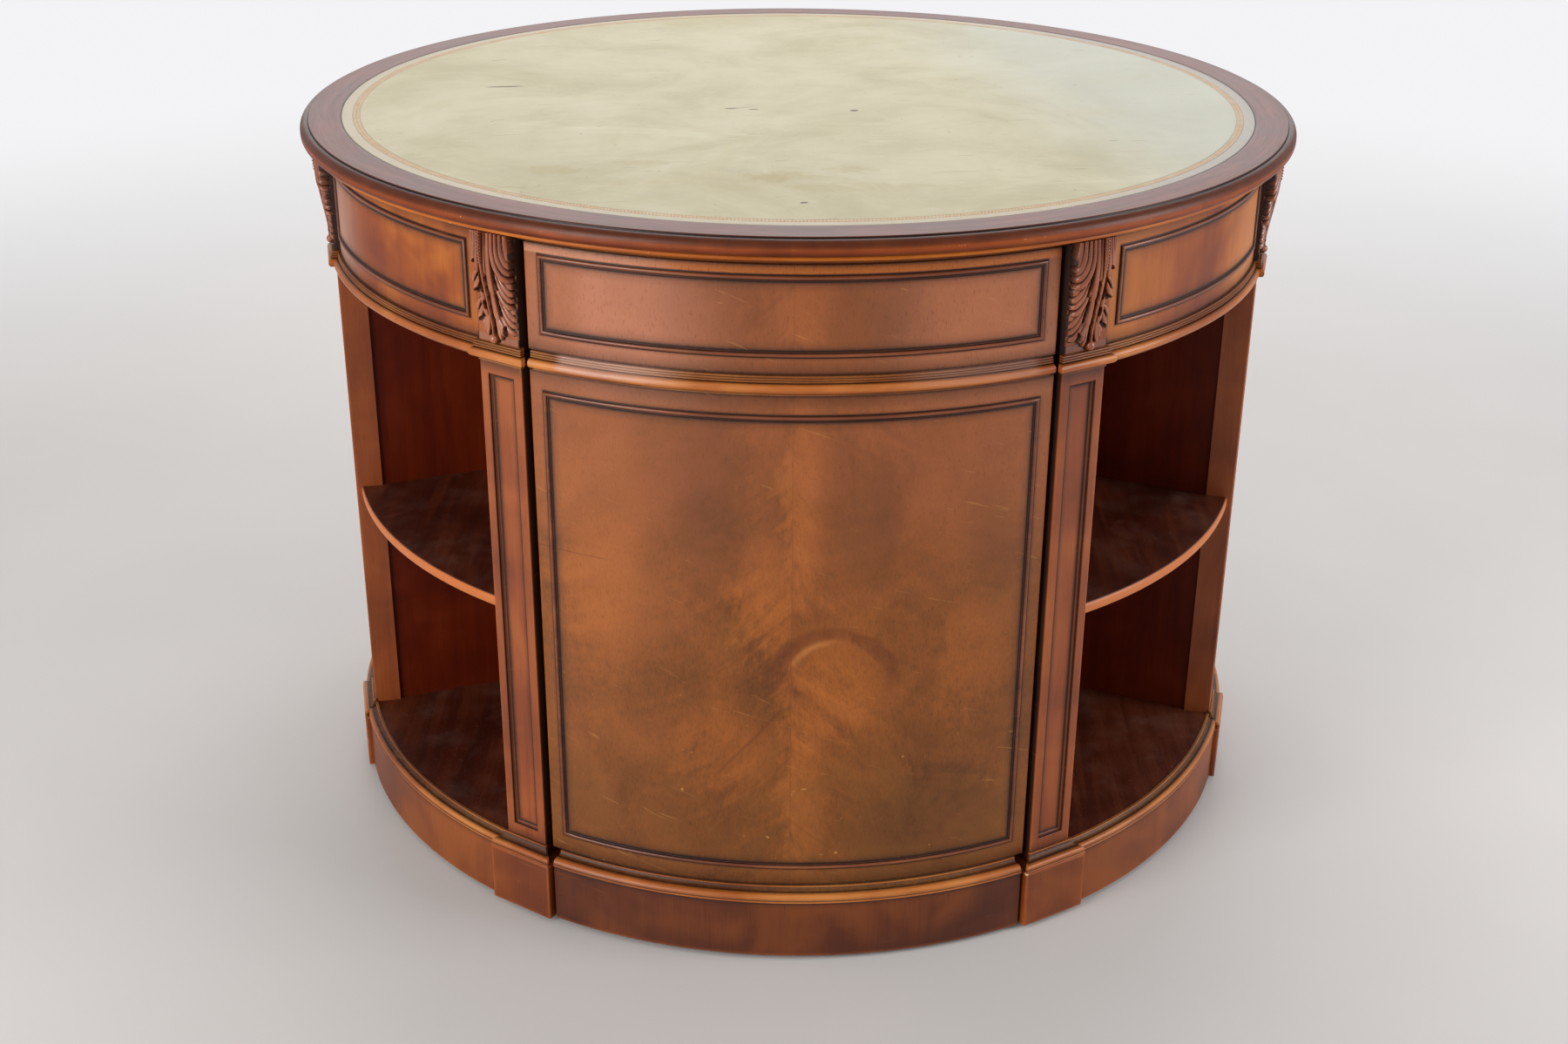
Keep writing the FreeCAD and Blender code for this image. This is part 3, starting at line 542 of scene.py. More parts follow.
def tooling():
    """Worn gilt of the stamped border."""
    finish = Finish("gilt_tooling")
    place = finish.place()
    worn = finish.cloud(place, 45.0, 4.0, 0.7)
    colour = finish.blend(worn.rise(0.35, 0.65), tone(196, 152, 104), tone(164, 122, 78))
    finish.set(base_color=colour, roughness=0.38 + 0.2 * worn, metallic=0.2 * worn)
    return finish.material


def seat_leather():
    """Sage hide for the seat, darker in its creases along the welts as painted shade."""
    finish = Finish("seat_leather")
    place = finish.place()
    cloudy = finish.cloud(place, 9.0, 4.0, 0.6, 0.5)
    fine = finish.cloud(place, 70.0, 3.0, 0.6)
    sages = (142, 137, 98), (166, 161, 120), (186, 181, 144)
    colour = finish.shades(cloudy * 0.7 + fine * 0.35, 0.34, 0.70, *sages)
    colour = finish.blend(finish.mark("grime") * 0.55, colour, tone(84, 74, 46))
    cells = finish.hide_cells(420.0, 0.18)
    finish.set(base_color=colour, roughness=0.42 + 0.14 * cloudy + 0.05 * cells)
    finish.bump(cells * 0.6 + fine * 0.4, 0.4, 0.0003)
    return finish.material


def waxed_thread():
    """Waxed linen thread of the stitches."""
    finish = Finish("thread")
    strands = finish.cloud(finish.place(), 900.0, 2.0, 0.6)
    finish.set(base_color=finish.blend(strands, tone(150, 136, 92), tone(186, 172, 126)))
    finish.set(roughness=0.55 + 0.2 * strands)
    finish.bump(strands, 0.3, 0.0002)
    return finish.material


def glide_nylon():
    """Pale nylon of the glides, scuffed by the floor."""
    finish = Finish("glide")
    place = finish.place()
    cloudy = finish.cloud(place, 90.0, 3.0, 0.6)
    colour = finish.blend(cloudy, tone(212, 176, 152), tone(228, 200, 178))
    scuff = finish.cloud(place, 400.0, 2.0, 0.6).rise(0.6, 0.7)
    colour = finish.blend(scuff * 0.4, colour, tone(150, 118, 96))
    finish.set(base_color=colour, roughness=0.42 + 0.2 * cloudy)
    finish.bump(scuff, 0.2, 0.0002)
    return finish.material


rim = rim_wood()
flame = flame_veneer()
leather = desk_leather()
gilt = tooling()
hide = seat_leather()
thread = waxed_thread()
nylon = glide_nylon()
# The pale band over the torus top and reeds beside the chair is dust and a painted sheen.
moulding = timber(
    "moulding_wood", (116, 57, 24), (160, 91, 41), (198, 127, 64), "round",
    figure=0.6, gloss=0.25, sheen=0.3, coat=0.1, dust_and_sheen=(0.6196, 0.6340),
)
amber = timber(
    "amber_moulding", (134, 62, 6), (162, 84, 10), (184, 106, 20), "round", figure=0.6, sheen=0.3
)
bead_wood = timber(
    "bead_wood", (78, 36, 18), (114, 60, 34), (150, 86, 52), "round",
    figure=0.6, gloss=0.22, sheen=0.3, coat=0.6,
)
kick_wood = timber(
    "kick_wood", (68, 29, 8), (88, 40, 11), (112, 56, 18), figure=0.3, mottle=0.9, scratches=1.0
)
plinth_wood = timber(
    "plinth_wood", (95, 42, 10), (115, 55, 15), (137, 71, 23),
    figure=0.3, mottle=0.8, scratches=0.8, chip=(0.2462, -0.4636, 0.0735),
)
# The side friezes get a painted sheen at their far left end and painted light at their far right
# end.
honey = timber(
    "frieze_veneer", (113, 48, 12), (141, 69, 18), (170, 95, 31), figure=0.35, mottle=0.95,
    painted_light_stretches=((-0.50, -0.63, -0.74, 0.55, (186, 150, 134)), (0.48, 0.60, 0.74, 0.45, (212, 136, 74))),
)
post_wood = timber("post_wood", (104, 48, 21), (133, 66, 30), (156, 84, 40), figure=0.4)
carved = timber(
    "carved_wood", (98, 46, 27), (138, 76, 49), (176, 112, 80),
    figure=0.5, gloss=0.22, sheen=0.3, coat=0.7,
)
carcase = timber(
    "carcase_wood", (70, 21, 4), (88, 28, 6), (104, 38, 10), drum=False, figure=0.5, sheen=0.2
)
board_wood = timber(
    "shelf_wood", (54, 20, 8), (72, 30, 14), (94, 45, 24), "deep",
    drum=False, dust=0.45, scratches=0.9, nosing=(184, 102, 46),
)
chair_wood = timber(
    "chair_wood", (96, 46, 26), (136, 72, 42), (164, 94, 54), drum=False, figure=0.7
)

# ------------------------------------------------------------ drawing pieces


def spot(turn, out, across):
    """Plan point that lies out along a post's angle and across to its side."""
    angle = np.radians(turn)
    x = out * np.sin(angle) + across * np.cos(angle)
    y = across * np.sin(angle) - out * np.cos(angle)
    return x, y


def hand_of(turn):
    """-1 for a post on the right half of the drum and 1 for one on the left."""
    return 1 if turn > 180.0 else -1


class Stock:
    """Timber for one piece: points in millimetres with their grime and rub, and faces."""

    def __init__(self):
        self.points = []
        self.marks = []
        self.faces = []

    def add(self, points, marks, faces):
        start = len(self.points)
        self.points.extend(np.reshape(points, (-1, 3)).tolist())
        self.marks.extend(np.reshape(marks, (-1, 2)).tolist())
        self.faces.extend(tuple(start + corner for corner in face) for face in faces)

    def skin(self, points, marks, shut_rows, shut_columns):
        """Faces over a grid of points; a way round that isn't shut has its two ends closed."""
        corners = np.arange(points.shape[0] * points.shape[1]).reshape(points.shape[:2])
        faces = grid_faces(*corners.shape, shut_rows, shut_columns)
        if not shut_columns:
            faces += [corners[:, 0].tolist(), corners[:, -1].tolist()]
        if not shut_rows:
            faces += [corners[0].tolist(), corners[-1].tolist()]
        self.add(points, np.broadcast_to(marks, corners.shape + (2,)), faces)

    def mesh(self, name):
        """The points and faces as a mesh, with grime and rub on its points."""
        mesh = bpy.data.meshes.new(name)
        mesh.from_pydata(np.array(self.points) * MM, [], self.faces)
        marks = np.array(self.marks, np.float32)
        for column, label in enumerate(("grime", "rub")):
            attribute = mesh.attributes.new(label, "FLOAT", "POINT")
            attribute.data.foreach_set("value", np.ascontiguousarray(marks[:, column]))
        return mesh

    def piece(self, name, material, body, *replaced, sharp=32.0):
        mesh = self.mesh(name)
        facing_out(mesh, weld=0.02 * MM)
        return finished(name, mesh, material, body, *replaced, sharp=sharp)


def placed(name, data):
    """A new object in the scene."""
    thing = bpy.data.objects.new(name, data)
    bpy.context.scene.collection.objects.link(thing)
    return thing


def facing_out(mesh, weld=0.0):
    """Turns a mesh's faces outwards, after points nearer than weld are joined."""
    work = bmesh.new()
    work.from_mesh(mesh)
    if weld:
        bmesh.ops.remove_doubles(work, verts=work.verts, dist=weld)
    bmesh.ops.recalc_face_normals(work, faces=work.faces)
    work.to_mesh(mesh)
    work.free()


def plain_mesh(thing):
    """An object's mesh after its modifiers, as a plain mesh; the object goes."""
    seen = thing.evaluated_get(bpy.context.evaluated_depsgraph_get())
    plain = bpy.data.meshes.new_from_object(seen)
    bpy.data.objects.remove(thing)
    return plain


def finished(name, mesh, material, body, *replaced, sharp=32.0, slot=None):
    """A piece from its mesh, shaded, finished and set on its body."""
    mesh.polygons.foreach_set("use_smooth", [True] * len(mesh.polygons))
    mesh.set_sharp_from_angle(angle=math.radians(sharp))
    mesh.materials.clear()
    mesh.materials.append(material)
    piece = placed(name, mesh)
    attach(piece, body)
    if replaced:
        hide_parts(*replaced)
    slot or slot_of.get(material.name, material.name[4:])
    return piece


def bowed(start, end, rise, count):
    """Points on a round curve that stands out by rise on the right of the way from start."""
    run = np.subtract(end, start)
    length = np.hypot(*run)
    way = run / length
    out = np.array((way[1], -way[0])) * np.sign(rise)
    half = 2 * math.atan(2 * abs(rise) / length)
    radius = length / (2 * math.sin(half))
    middle = np.add(start, end) / 2
    turns = np.linspace(-half, half, count + 1)
    return [
        middle + way * radius * math.sin(turn) + out * radius * (math.cos(turn) - math.cos(half))
        for turn in turns
    ]


def moulded(*legs, count=9):
    """A moulding's line as rows of (out, up, grime, rub).

    A leg is (out, up, grime, rub), and with (rise, grime, rub) after it the way there bows,
    with those marks in its middle. Marks end up between 0 and 1.
    """
    rows = [legs[0][:4]]
    for leg in legs[1:]:
        start = rows[-1]
        if len(leg) == 4:
            rows.append(leg)
            continue
        rise, *middle = leg[4:]
        for step, place in enumerate(bowed(start[:2], leg[:2], rise, count)[1:], 1):
            share = step / count
            swell = 1 - (2 * share - 1) ** 2
            marks = [
                (1 - swell) * (a + (b - a) * share) + swell * m
                for a, b, m in zip(start[2:], leg[2:4], middle)
            ]
            rows.append((*place, *marks))
    line = np.array(rows, float)
    line[:, 2:] = np.clip(line[:, 2:], 0, 1)
    return line


def grid_faces(rows, columns, shut_rows=False, shut_columns=False):
    faces = []
    for row in range(rows if shut_rows else rows - 1):
        for column in range(columns if shut_columns else columns - 1):
            here = row * columns
            below = (row + 1) % rows * columns
            beside = (column + 1) % columns
            faces.append((here + column, here + beside, below + beside, below + column))
    return faces


def turned(out, turn, up):
    """Points at distances from the drum's axis, ways round it in radians and heights."""
    return np.stack(np.broadcast_arrays(out * np.sin(turn), -out * np.cos(turn), up), axis=-1)


def lathe(stock, line, ring=False):
    """Turns a line of (out, up, grime, rub) about the axis; only a ring has no flat ends."""
    turns = np.linspace(0, 2 * math.pi, lathe_steps, endpoint=False)[:, None]
    stock.skin(turned(line[:, 0], turns, line[:, 1]), line[:, 2:4], True, ring)


def square_end(half_turn, inset):
    """Half the angle a piece spans at a radius when its ends lie inset from the posts' middle."""
    return lambda out: np.radians(half_turn) - np.arcsin(inset / out)


def mitred_end(half_turn, corner_radius):
    """The same for ends mitred outside the corner between a post's side and the drum."""
    corner = math.sqrt(corner_radius**2 - post_half**2)

    def half_angle(out):
        inset = np.full(np.shape(out), post_half)
        rounds = 30
        for _ in range(rounds):
            past = np.sqrt(out**2 - inset**2) - corner
            inset = post_half + np.maximum(past, 0.0)
        return np.radians(half_turn) - np.arcsin(inset / out)

    return half_angle


def bay_run(stock, line, middle, half_angle):
    """A closed section of (radius, up, grime, rub) run round the drum between two ends."""
    half = half_angle(line[:, 0])
    stations = max(4, int(2 * math.degrees(float(np.max(half))))) + 1
    turn = math.radians(middle) + np.linspace(-1, 1, stations)[:, None] * half
    stock.skin(turned(line[:, 0], turn, line[:, 1]), line[:, 2:4], False, True)


def drum_place(middle, half_angle):
    """Puts (radius, share of the way to the ends, up) on the drum."""
    return lambda out, share, up: turned(out, math.radians(middle) + share * half_angle(out), up)


def post_place(turn):
    """Puts (out, across, up) on a post."""

    def place(out, across, up):
        return np.stack(np.broadcast_arrays(*spot(turn, out, across), up), axis=-1)

    return place


def close_lines(low, high, marks, spacing):
    """Even lines from low to high with every value in marks among them."""
    lines = [low, high] + [mark for mark in marks if low < mark < high]
    lines += list(np.linspace(low, high, max(2, int((high - low) / spacing) + 1)))
    lines = sorted(lines)
    kept = [lines[0]]
    for value in lines[1:]:
        near = any(abs(value - mark) < 1e-6 for mark in marks) or value == high
        if value - kept[-1] > spacing * 0.3 or (near and value - kept[-1] > 1e-4):
            kept.append(value)
    return np.array(kept)


def relief(stock, place, across, up, face, marks, back, side_marks=None):
    """A closed panel whose face follows face(across, up), out of a flat or round back."""
    wide, high = np.meshgrid(across, up, indexing="ij")
    out = face(wide, high)
    rows, columns = wide.shape
    front = place(out, wide, high).reshape(-1, 3)
    behind = place(np.full(out.shape, float(back)), wide, high).reshape(-1, 3)
    mid_row = (across[0] + across[-1]) / 2
    mid_column = (up[0] + up[-1]) / 2
    faces = []
    for a, b, c, d in grid_faces(rows, columns):
        row, column = divmod(a, columns)
        first = (across[row] < mid_row) == (up[column] < mid_column)
        faces += [(a, b, c), (a, c, d)] if first else [(a, b, d), (b, c, d)]
    size = rows * columns
    corners = np.arange(size).reshape(rows, columns)
    faces += [(size + d, size + c, size + b, size + a) for a, b, c, d in grid_faces(rows, columns)]
    sides = corners[:, 0], corners[-1, 1:], corners[-2::-1, -1], corners[0, -2:0:-1]
    edge = np.concatenate(sides).tolist()
    # A row of points close behind the face keeps its arris crisp.
    shoulder_depth = 2.5
    shoulder = place(out - shoulder_depth, wide, high).reshape(-1, 3)[edge]
    for step, (here, there) in enumerate(zip(edge, edge[1:] + edge[:1])):
        low, next_low = 2 * size + step, 2 * size + (step + 1) % len(edge)
        faces.append((here, there, next_low, low))
        faces.append((low, next_low, size + there, size + here))
    face_marks = marks(wide, high).reshape(-1, 2)
    plain = np.zeros_like(face_marks)
    if side_marks:
        plain = side_marks(wide, high).reshape(-1, 2)
    marked = np.concatenate((face_marks, plain, plain[edge]))
    stock.add(np.concatenate((front, behind, shoulder)), marked, faces)


def inside(across, up, box):
    """How far a point lies inside a frame (left, right, low, high), less than 0 outside it."""
    left, right, low, high = box
    return np.minimum.reduce([across - left, right - across, up - low, high - up])


def framed(stock, place, box, line, scale=1.0):
    """A moulding with mitred corners round a frame, from a closed (away, out, ...) section."""
    left, right, low, high = box
    across_step, up_step = 12.0, 40.0
    wide = np.linspace(0, 1, max(2, int((right - left) / scale / across_step)) + 1)
    tall = np.linspace(0, 1, max(2, int((high - low) / up_step)) + 1)
    path = [(share, 0.0) for share in wide[:-1]] + [(1.0, share) for share in tall[:-1]]
    path += [(share, 1.0) for share in wide[:0:-1]] + [(0.0, share) for share in tall[:0:-1]]
    path = np.array(path)
    away = line[:, 0]
    across = (left - away * scale) + path[:, :1] * (right - left + 2 * away * scale)
    up = (low - away) + path[:, 1:] * (high - low + 2 * away)
    out = np.broadcast_to(line[:, 1], across.shape)
    stock.skin(place(out, across, up), line[:, 2:4], True, True)


def eased_block(stock, place, box):
    """A block (in, out, left, right, low, high) with worn, rounded arrises."""
    ease, inset, rub = 1.2, 3.5, 0.8
    ends = np.array(box, float).reshape(3, 2).T
    work = bmesh.new()
    bmesh.ops.create_cube(work, size=1.0)
    for vertex in work.verts:
        vertex.co = ends.mean(axis=0) + np.array(vertex.co) * (ends[1] - ends[0])
    flats = list(work.faces)
    bmesh.ops.inset_individual(work, faces=flats, thickness=inset, use_even_offset=True)
    worn = work.verts.layers.float.new("worn")
    for vertex in work.verts:
        sides_met = (np.abs(np.array(vertex.co) - ends) < 1e-4).any(axis=0).sum()
        vertex[worn] = 1.0 if sides_met >= 2 else 0.0
    arrises = [edge for edge in work.edges if edge.verts[0][worn] * edge.verts[1][worn] > 0.5]
    arrises = [edge for edge in arrises if edge.calc_face_angle(0.0) > 1.0]
    bmesh.ops.bevel(work, geom=arrises, offset=ease, segments=3, affect="EDGES", profile=0.5)
    points = np.array([vertex.co for vertex in work.verts])
    sides_met = sum((np.abs(points - end) < inset * 0.6).sum(axis=1) for end in ends)
    marks = np.stack((np.zeros(len(points)), np.where(sides_met >= 2, rub, 0.0)), axis=-1)
    work.verts.index_update()
    faces = [tuple(vertex.index for vertex in face.verts) for face in work.faces]
    work.free()
    stock.add(place(*points.T), marks, faces)


# ------------------------------------------------------------ sections


def waist_line(face, projection, back):
    """Cove, torus and three reeds round the drum's waist."""
    reed = (frieze_low - 626.0) / 3
    legs = [
        (back, waist_low, 0.0, 0.0),
        (face + 0.6, waist_low, 0.5, 0.0),
        (face + 1.0, waist_low + 0.4, 0.3, 0.2),
        (face + 4.0, 616.5, 1.0, 0.0, -1.2, 0.75, 0.0),
        (face + 4.0, 626.0, 1.0, 0.0, projection - 4.0, -0.35, 0.55),
        (face + 3.2, 626.1, 1.0, 0.0),
    ]
    for count in range(3):
        seat = 3.2 - 0.35 * count
        legs.append((face + seat, 626.1 + reed * (count + 0.97), 0.85, 0.0, 0.9, 0.5, 0.2))
    return moulded(*legs, (back, frieze_low, 0.0, 0.0), count=8)


def base_line(face, projection, high, back):
    """Fillet, ovolo, cove and lip over the plinth."""
    low = plinth_top
    return moulded(
        (back, low, 0.0, 0.0),
        (face + projection - 0.8, low, 1.0, 0.0),
        (face + projection, low + 0.8, 0.35, 0.9),
        (face + projection, low + 1.9, 0.2, 0.7),
        (face + projection - 0.8, low + 2.6, 1.0, 0.1),
        (face + projection - 0.5, low + 3.2, 0.6, 0.2),
        (face + 8.6, low + 8.3, 0.6, 0.2, 1.7, 0.05, 0.45),
        (face + 7.6, low + 8.6, 1.0, 0.0),
        (face + 2.2, high - 1.6, 0.75, 0.0, -1.3, 0.8, 0.0),
        (face + 2.2, high - 0.3, 0.5, 0.4, 0.5, 0.2, 0.5),
        (face + 1.0, high, 0.85, 0.0),
        (back, high, 0.0, 0.0),
        count=7,
    )


def wrapped(stock, turn, line, corner_radius):
    """A moulding's (radius, up) line round a post, mitred at both corners."""
    corner = math.sqrt(corner_radius**2 - post_half**2)
    out = line[:, 0] - post_face
    inner = np.maximum(out, -3.0)
    side = post_half + inner
    stations = [(corner + inner, -side), (post_face + out, -side)]
    stations += [(post_face + out, side), (corner + inner, side)]
    place = post_place(turn)
    points = np.stack([place(far, across, line[:, 1]) for far, across in stations])
    stock.skin(points, line[:, 2:4], False, True)


# ------------------------------------------------------------ top


def make_top():
    rim_line = moulded(
        (leather_radius, rim_low, 0.0, 0.0),
        (529.8, rim_low, 0.5, 0.0),
        (530.6, rim_low + 0.2, 0.8, 0.0),
        (top_radius, 755.8, 0.1, 0.25, 1.3, 0.45, 0.1),
        (top_radius, 758.4, 0.0, 0.9),
        (527.0, 766.4, 0.9, 0.0, 2.34, 0.12, 0.35),
        (526.6, 766.2, 1.0, 0.0),
        (526.3, 767.3, 0.9, 0.0),
        (525.4, desk_top, 0.15, 0.45),
        (523.0, desk_top, 0.0, 0.1),
        (510.0, desk_top, 0.0, 0.0),
        (496.0, desk_top, 0.0, 0.0),
        (493.0, desk_top, 0.35, 0.1),
        (leather_radius, 767.4, 1.0, 0.0),
    )
    stock = Stock()
    section = np.concatenate((rim_line, [[leather_radius, rim_low + 6, 0, 0]]))
    lathe(stock, section, ring=True)
    stock.piece("rim", rim, "desk", "top_rim")

    under = moulded(
        (460.0, carcase_top, 0.0, 0.0),
        (502.0, carcase_top, 0.2, 0.0),
        (506.5, carcase_top, 1.0, 0.0),
        (508.0, 738.4, 0.9, 0.1),
        (524.4, 745.6, 0.7, 0.0, -3.6, -0.15, 0.1),
        (525.5, 745.9, 1.0, 0.0),
        (525.5, 750.6, 1.0, 0.0, 2.4, -0.3, 0.75),
        (524.0, rim_low, 1.0, 0.0),
        (491.6, rim_low, 0.0, 0.0),
        (491.6, 766.3, 0.0, 0.0),
    )
    stock = Stock()
    lathe(stock, under)
    stock.piece("top_board", amber, "desk", "top_board")

    hide_line = moulded(
        (491.7, 766.5, 0.6, 0.0),
        (491.7, 767.1, 0.6, 0.0),
        (490.2, 767.7, 0.05, 0.0, 0.4, 0.3, 0.0),
        (481.0, 767.75, 0.0, 0.0),
        (480.2, 767.75, 0.0, 0.0),
        (479.8, 767.45, 0.4, 0.0),
        (479.4, 767.75, 0.0, 0.0),
        (472.6, 767.75, 0.0, 0.0),
        (472.2, 767.45, 0.4, 0.0),
        (471.8, 767.75, 0.0, 0.0),
        (440.0, 767.8, 0.0, 0.0),
        (300.0, 767.9, 0.0, 0.0),
        (120.0, 767.95, 0.0, 0.0),
    )
    stock = Stock()
    lathe(stock, hide_line)
    stock.piece("writing_leather", leather, "desk", "top_leather")


# ------------------------------------------------------------ posts


def make_post(turn, name):
    """A post with a sunk panel in its face."""
    left, right, low, high = field = (-16.0, 16.0, 98.0, 601.0)
    rows = moulded(
        (-3.0, 0.0, 0.0, 0.0),
        (-1.2, 0.0, 0.12, 0.1),
        (0.0, 0.0, 0.25, 0.5),
        (0.5, -0.5, 0.8, 0.2),
        (0.7, -2.3, 1.0, 0.0),
        (1.6, -2.5, 0.6, 0.1),
        (3.0, -4.3, 1.0, 0.0, 0.45, 0.3, 0.3),
        (3.3, -4.5, 1.0, 0.0),
        (4.6, -4.5, 0.75, 0.0),
        (6.4, -4.5, 0.28, 0.0),
        (9.5, -4.5, 0.0, 0.0),
        count=3,
    )
    offsets = rows[:, 0]
    worn = np.array((1.0, 2.2))
    arrises = np.concatenate((worn - post_half, post_half - worn))
    across_marks = np.concatenate((left + offsets, right - offsets, arrises))
    joints = (board_top + 4, waist_low - 2, frieze_low + 2)
    up_marks = np.concatenate((low + offsets, high - offsets, joints))
    across = close_lines(-post_half, post_half, across_marks, 9.0)
    up = close_lines(board_top, carcase_top, up_marks, 40.0)

    def face(wide, tall):
        level = np.interp(inside(wide, tall, field), offsets, rows[:, 1])
        side = post_half - np.abs(wide)
        return post_face + level - np.where(side < 1.0, 0.6 * (1 - side) ** 2, 0.0)

    def marks(wide, tall):
        depth = inside(wide, tall, field)
        side = post_half - np.abs(wide)
        # Painted shade on the face's edges above the waist, where the sides fall back beside the
        # leaf.
        shade = np.where(tall > waist_low, np.interp(side, [0.0, 1.4], [1.0, 0.0]), 0.0)
        rub = np.interp(side, [0, 1.0, 2.2], [0.8, 0.5, 0.0])
        rub = np.maximum(rub, np.interp(depth, offsets, rows[:, 3])) * (1 - shade)
        grime = np.maximum(shade, np.interp(depth, offsets, rows[:, 2]))
        for away, near in ((np.abs(tall - waist_low), 0), (tall - board_top, 2)):
            grime = np.maximum(grime, np.interp(away, [near, 6, 14], [0.8, 0.3, 0.0]))
        return np.stack((np.where(grime > 0.001, grime, 0), rub), axis=-1)

    # The sides are dark behind the friezes and next to the chair: painted shade.
    hand = 0 if min(turn, 360.0 - turn) > 45.0 else hand_of(turn)

    def sides(wide, tall):
        dark = (tall > waist_low) | (wide * hand > 0)
        return np.stack((np.where(dark, 1.0, 0.0), np.zeros_like(wide)), axis=-1)

    stock = Stock()
    relief(stock, post_place(turn), across, up, face, marks, post_back, sides)
    stock.piece(name, post_wood, "desk", name)


def make_posts():
    names = "front_right side_right back_right rear_right rear_left back_left side_left front_left"
    for turn, name in zip(post_turns, names.split()):
        make_post(turn, "post_" + name)


def make_post_trim():
    capitals, bases, blocks = Stock(), Stock(), Stock()
    let_in, block_back = 3.0, 487.5
    capital = waist_line(post_face, 8.0, post_face - let_in)
    base = base_line(post_face, 13.5, 86.0, post_face - let_in)
    for turn in post_turns:
        wrapped(capitals, turn, capital, drum_radius)
        wrapped(bases, turn, base, board_radius)
        box = (block_back, block_face, -block_half, block_half, glide_top, plinth_top)
        eased_block(blocks, post_place(turn), box)
    capitals.piece("capitals", moulding, "desk", "post_capitals")
    bases.piece("base_mouldings", moulding, "desk", "post_bases")
    blocks.piece("plinth_blocks", plinth_wood, "desk", "plinth_blocks")


# ------------------------------------------------------------ acanthus leaves


leaf_low = 634.0
leaf_high = 737.6
leaf_grain = 0.5
leaf_skirt = 1.3


def leaf_swell(up):
    """How far the leaf stands off its post before it is carved."""
    share = np.clip((up - 649.0) / (leaf_high - 649.0), 0, 1)
    return 4.8 + 9.2 * share + 16.0 * share**2 * (1 - share)


def rib_place(up):
    """Where the midrib runs: it leans towards the chair as it falls."""
    return np.interp(up, [638.0, 660.0, 700.0, 737.0], [-2.4, -3.4, -5.8, -6.4])


class Carving:
    """A leaf's ground: height and dark of each point of a grid, cut stroke by stroke; the dark is
    old polish with painted shade.
    """

    def __init__(self):
        across = np.arange(-25.0, 25.0 + leaf_grain / 2, leaf_grain)
        up = np.append(np.arange(leaf_low, leaf_high, leaf_grain), leaf_high)
        self.wide, self.tall = np.meshgrid(across, up, indexing="ij")
        edge = np.clip((np.abs(self.wide) - 11.0) / 13.0, 0, 1)
        outer = (self.wide < 0) * np.clip((self.tall - 690.0) / 30.0, 0, 1)
        self.swell = leaf_swell(self.tall) - (3.6 + 4.0 * outer) * edge**2
        self.height = np.full(self.wide.shape, -9.0)
        self.dark = np.zeros(self.wide.shape)
        self.cover = np.full(self.wide.shape, -9.0)

    def lay(self, height, reach, dark):
        over = (reach > 0) & (height > self.height)
        self.height = np.where(over, height, self.height)
        self.dark = np.where(over, dark, self.dark)
        self.cover = np.maximum(self.cover, reach)

    def nearest(self, line):
        """For each point the nearest place on a line: its share, distance and side."""
        gap = np.hypot(self.wide[..., None] - line[:, 0], self.tall[..., None] - line[:, 1])
        index = np.argmin(gap, axis=-1)
        distance = np.take_along_axis(gap, index[..., None], axis=-1)[..., 0]
        way = np.gradient(line, axis=0)
        way /= np.hypot(way[:, 0], way[:, 1])[:, None]
        side = way[index, 0] * (self.tall - line[index, 1])
        side -= way[index, 1] * (self.wide - line[index, 0])
        return np.linspace(0, 1, len(line))[index], distance, side

    def finger(self, root, bend, tip, slim, full, sunk, proud, groove, blunt=0.84):
        """A fluted finger along a bent line, sunk at its root and proud at its tip."""
        share = np.linspace(0, 1, 48)[:, None]
        start, middle, end = (np.array(point, float) for point in (root, bend, tip))
        line = (1 - share) ** 2 * start + 2 * share * (1 - share) * middle + share**2 * end
        part, distance, side = self.nearest(line)
        half = slim + (full - slim) * np.sin(np.minimum(part / 0.7, 1) * math.pi / 2)
        end_in = np.clip((part - blunt) / (1.001 - blunt), 0, 1)
        half = half * np.sqrt(1 - 0.96 * end_in**2)
        ratio = distance / half
        fall = groove * (1 - np.sqrt(np.clip(1 - ratio**2, 0, 1)))
        rise = proud - (proud - sunk) * (1 - part) ** 1.3 - 1.8 * end_in**2
        # The flutes darken towards the finger's edges: old polish with painted shade.
        dark = np.clip((ratio - 0.62) / 0.28, 0, 1) * (1 - 0.4 * end_in)
        self.lay(self.swell + rise - fall, (1 - ratio) * half, dark)

    def gouge(self, start, end, half):
        """A deep cut from start to end, pointed at both, dark with old polish and painted shade."""
        share = np.linspace(0, 1, 24)[:, None]
        line = np.array(start) + share * np.subtract(end, start)
        part, distance, _ = self.nearest(line)
        width = half * (0.12 + np.sqrt(np.clip(np.sin(part * math.pi), 0, 1)))
        ratio = distance / width
        deep = np.clip((1.15 - ratio) / 0.35, 0, 1)
        self.height = self.height * (1 - deep) + 1.0 * deep
        self.dark = np.maximum(self.dark, np.clip((1.45 - ratio) / 0.35, 0, 1))


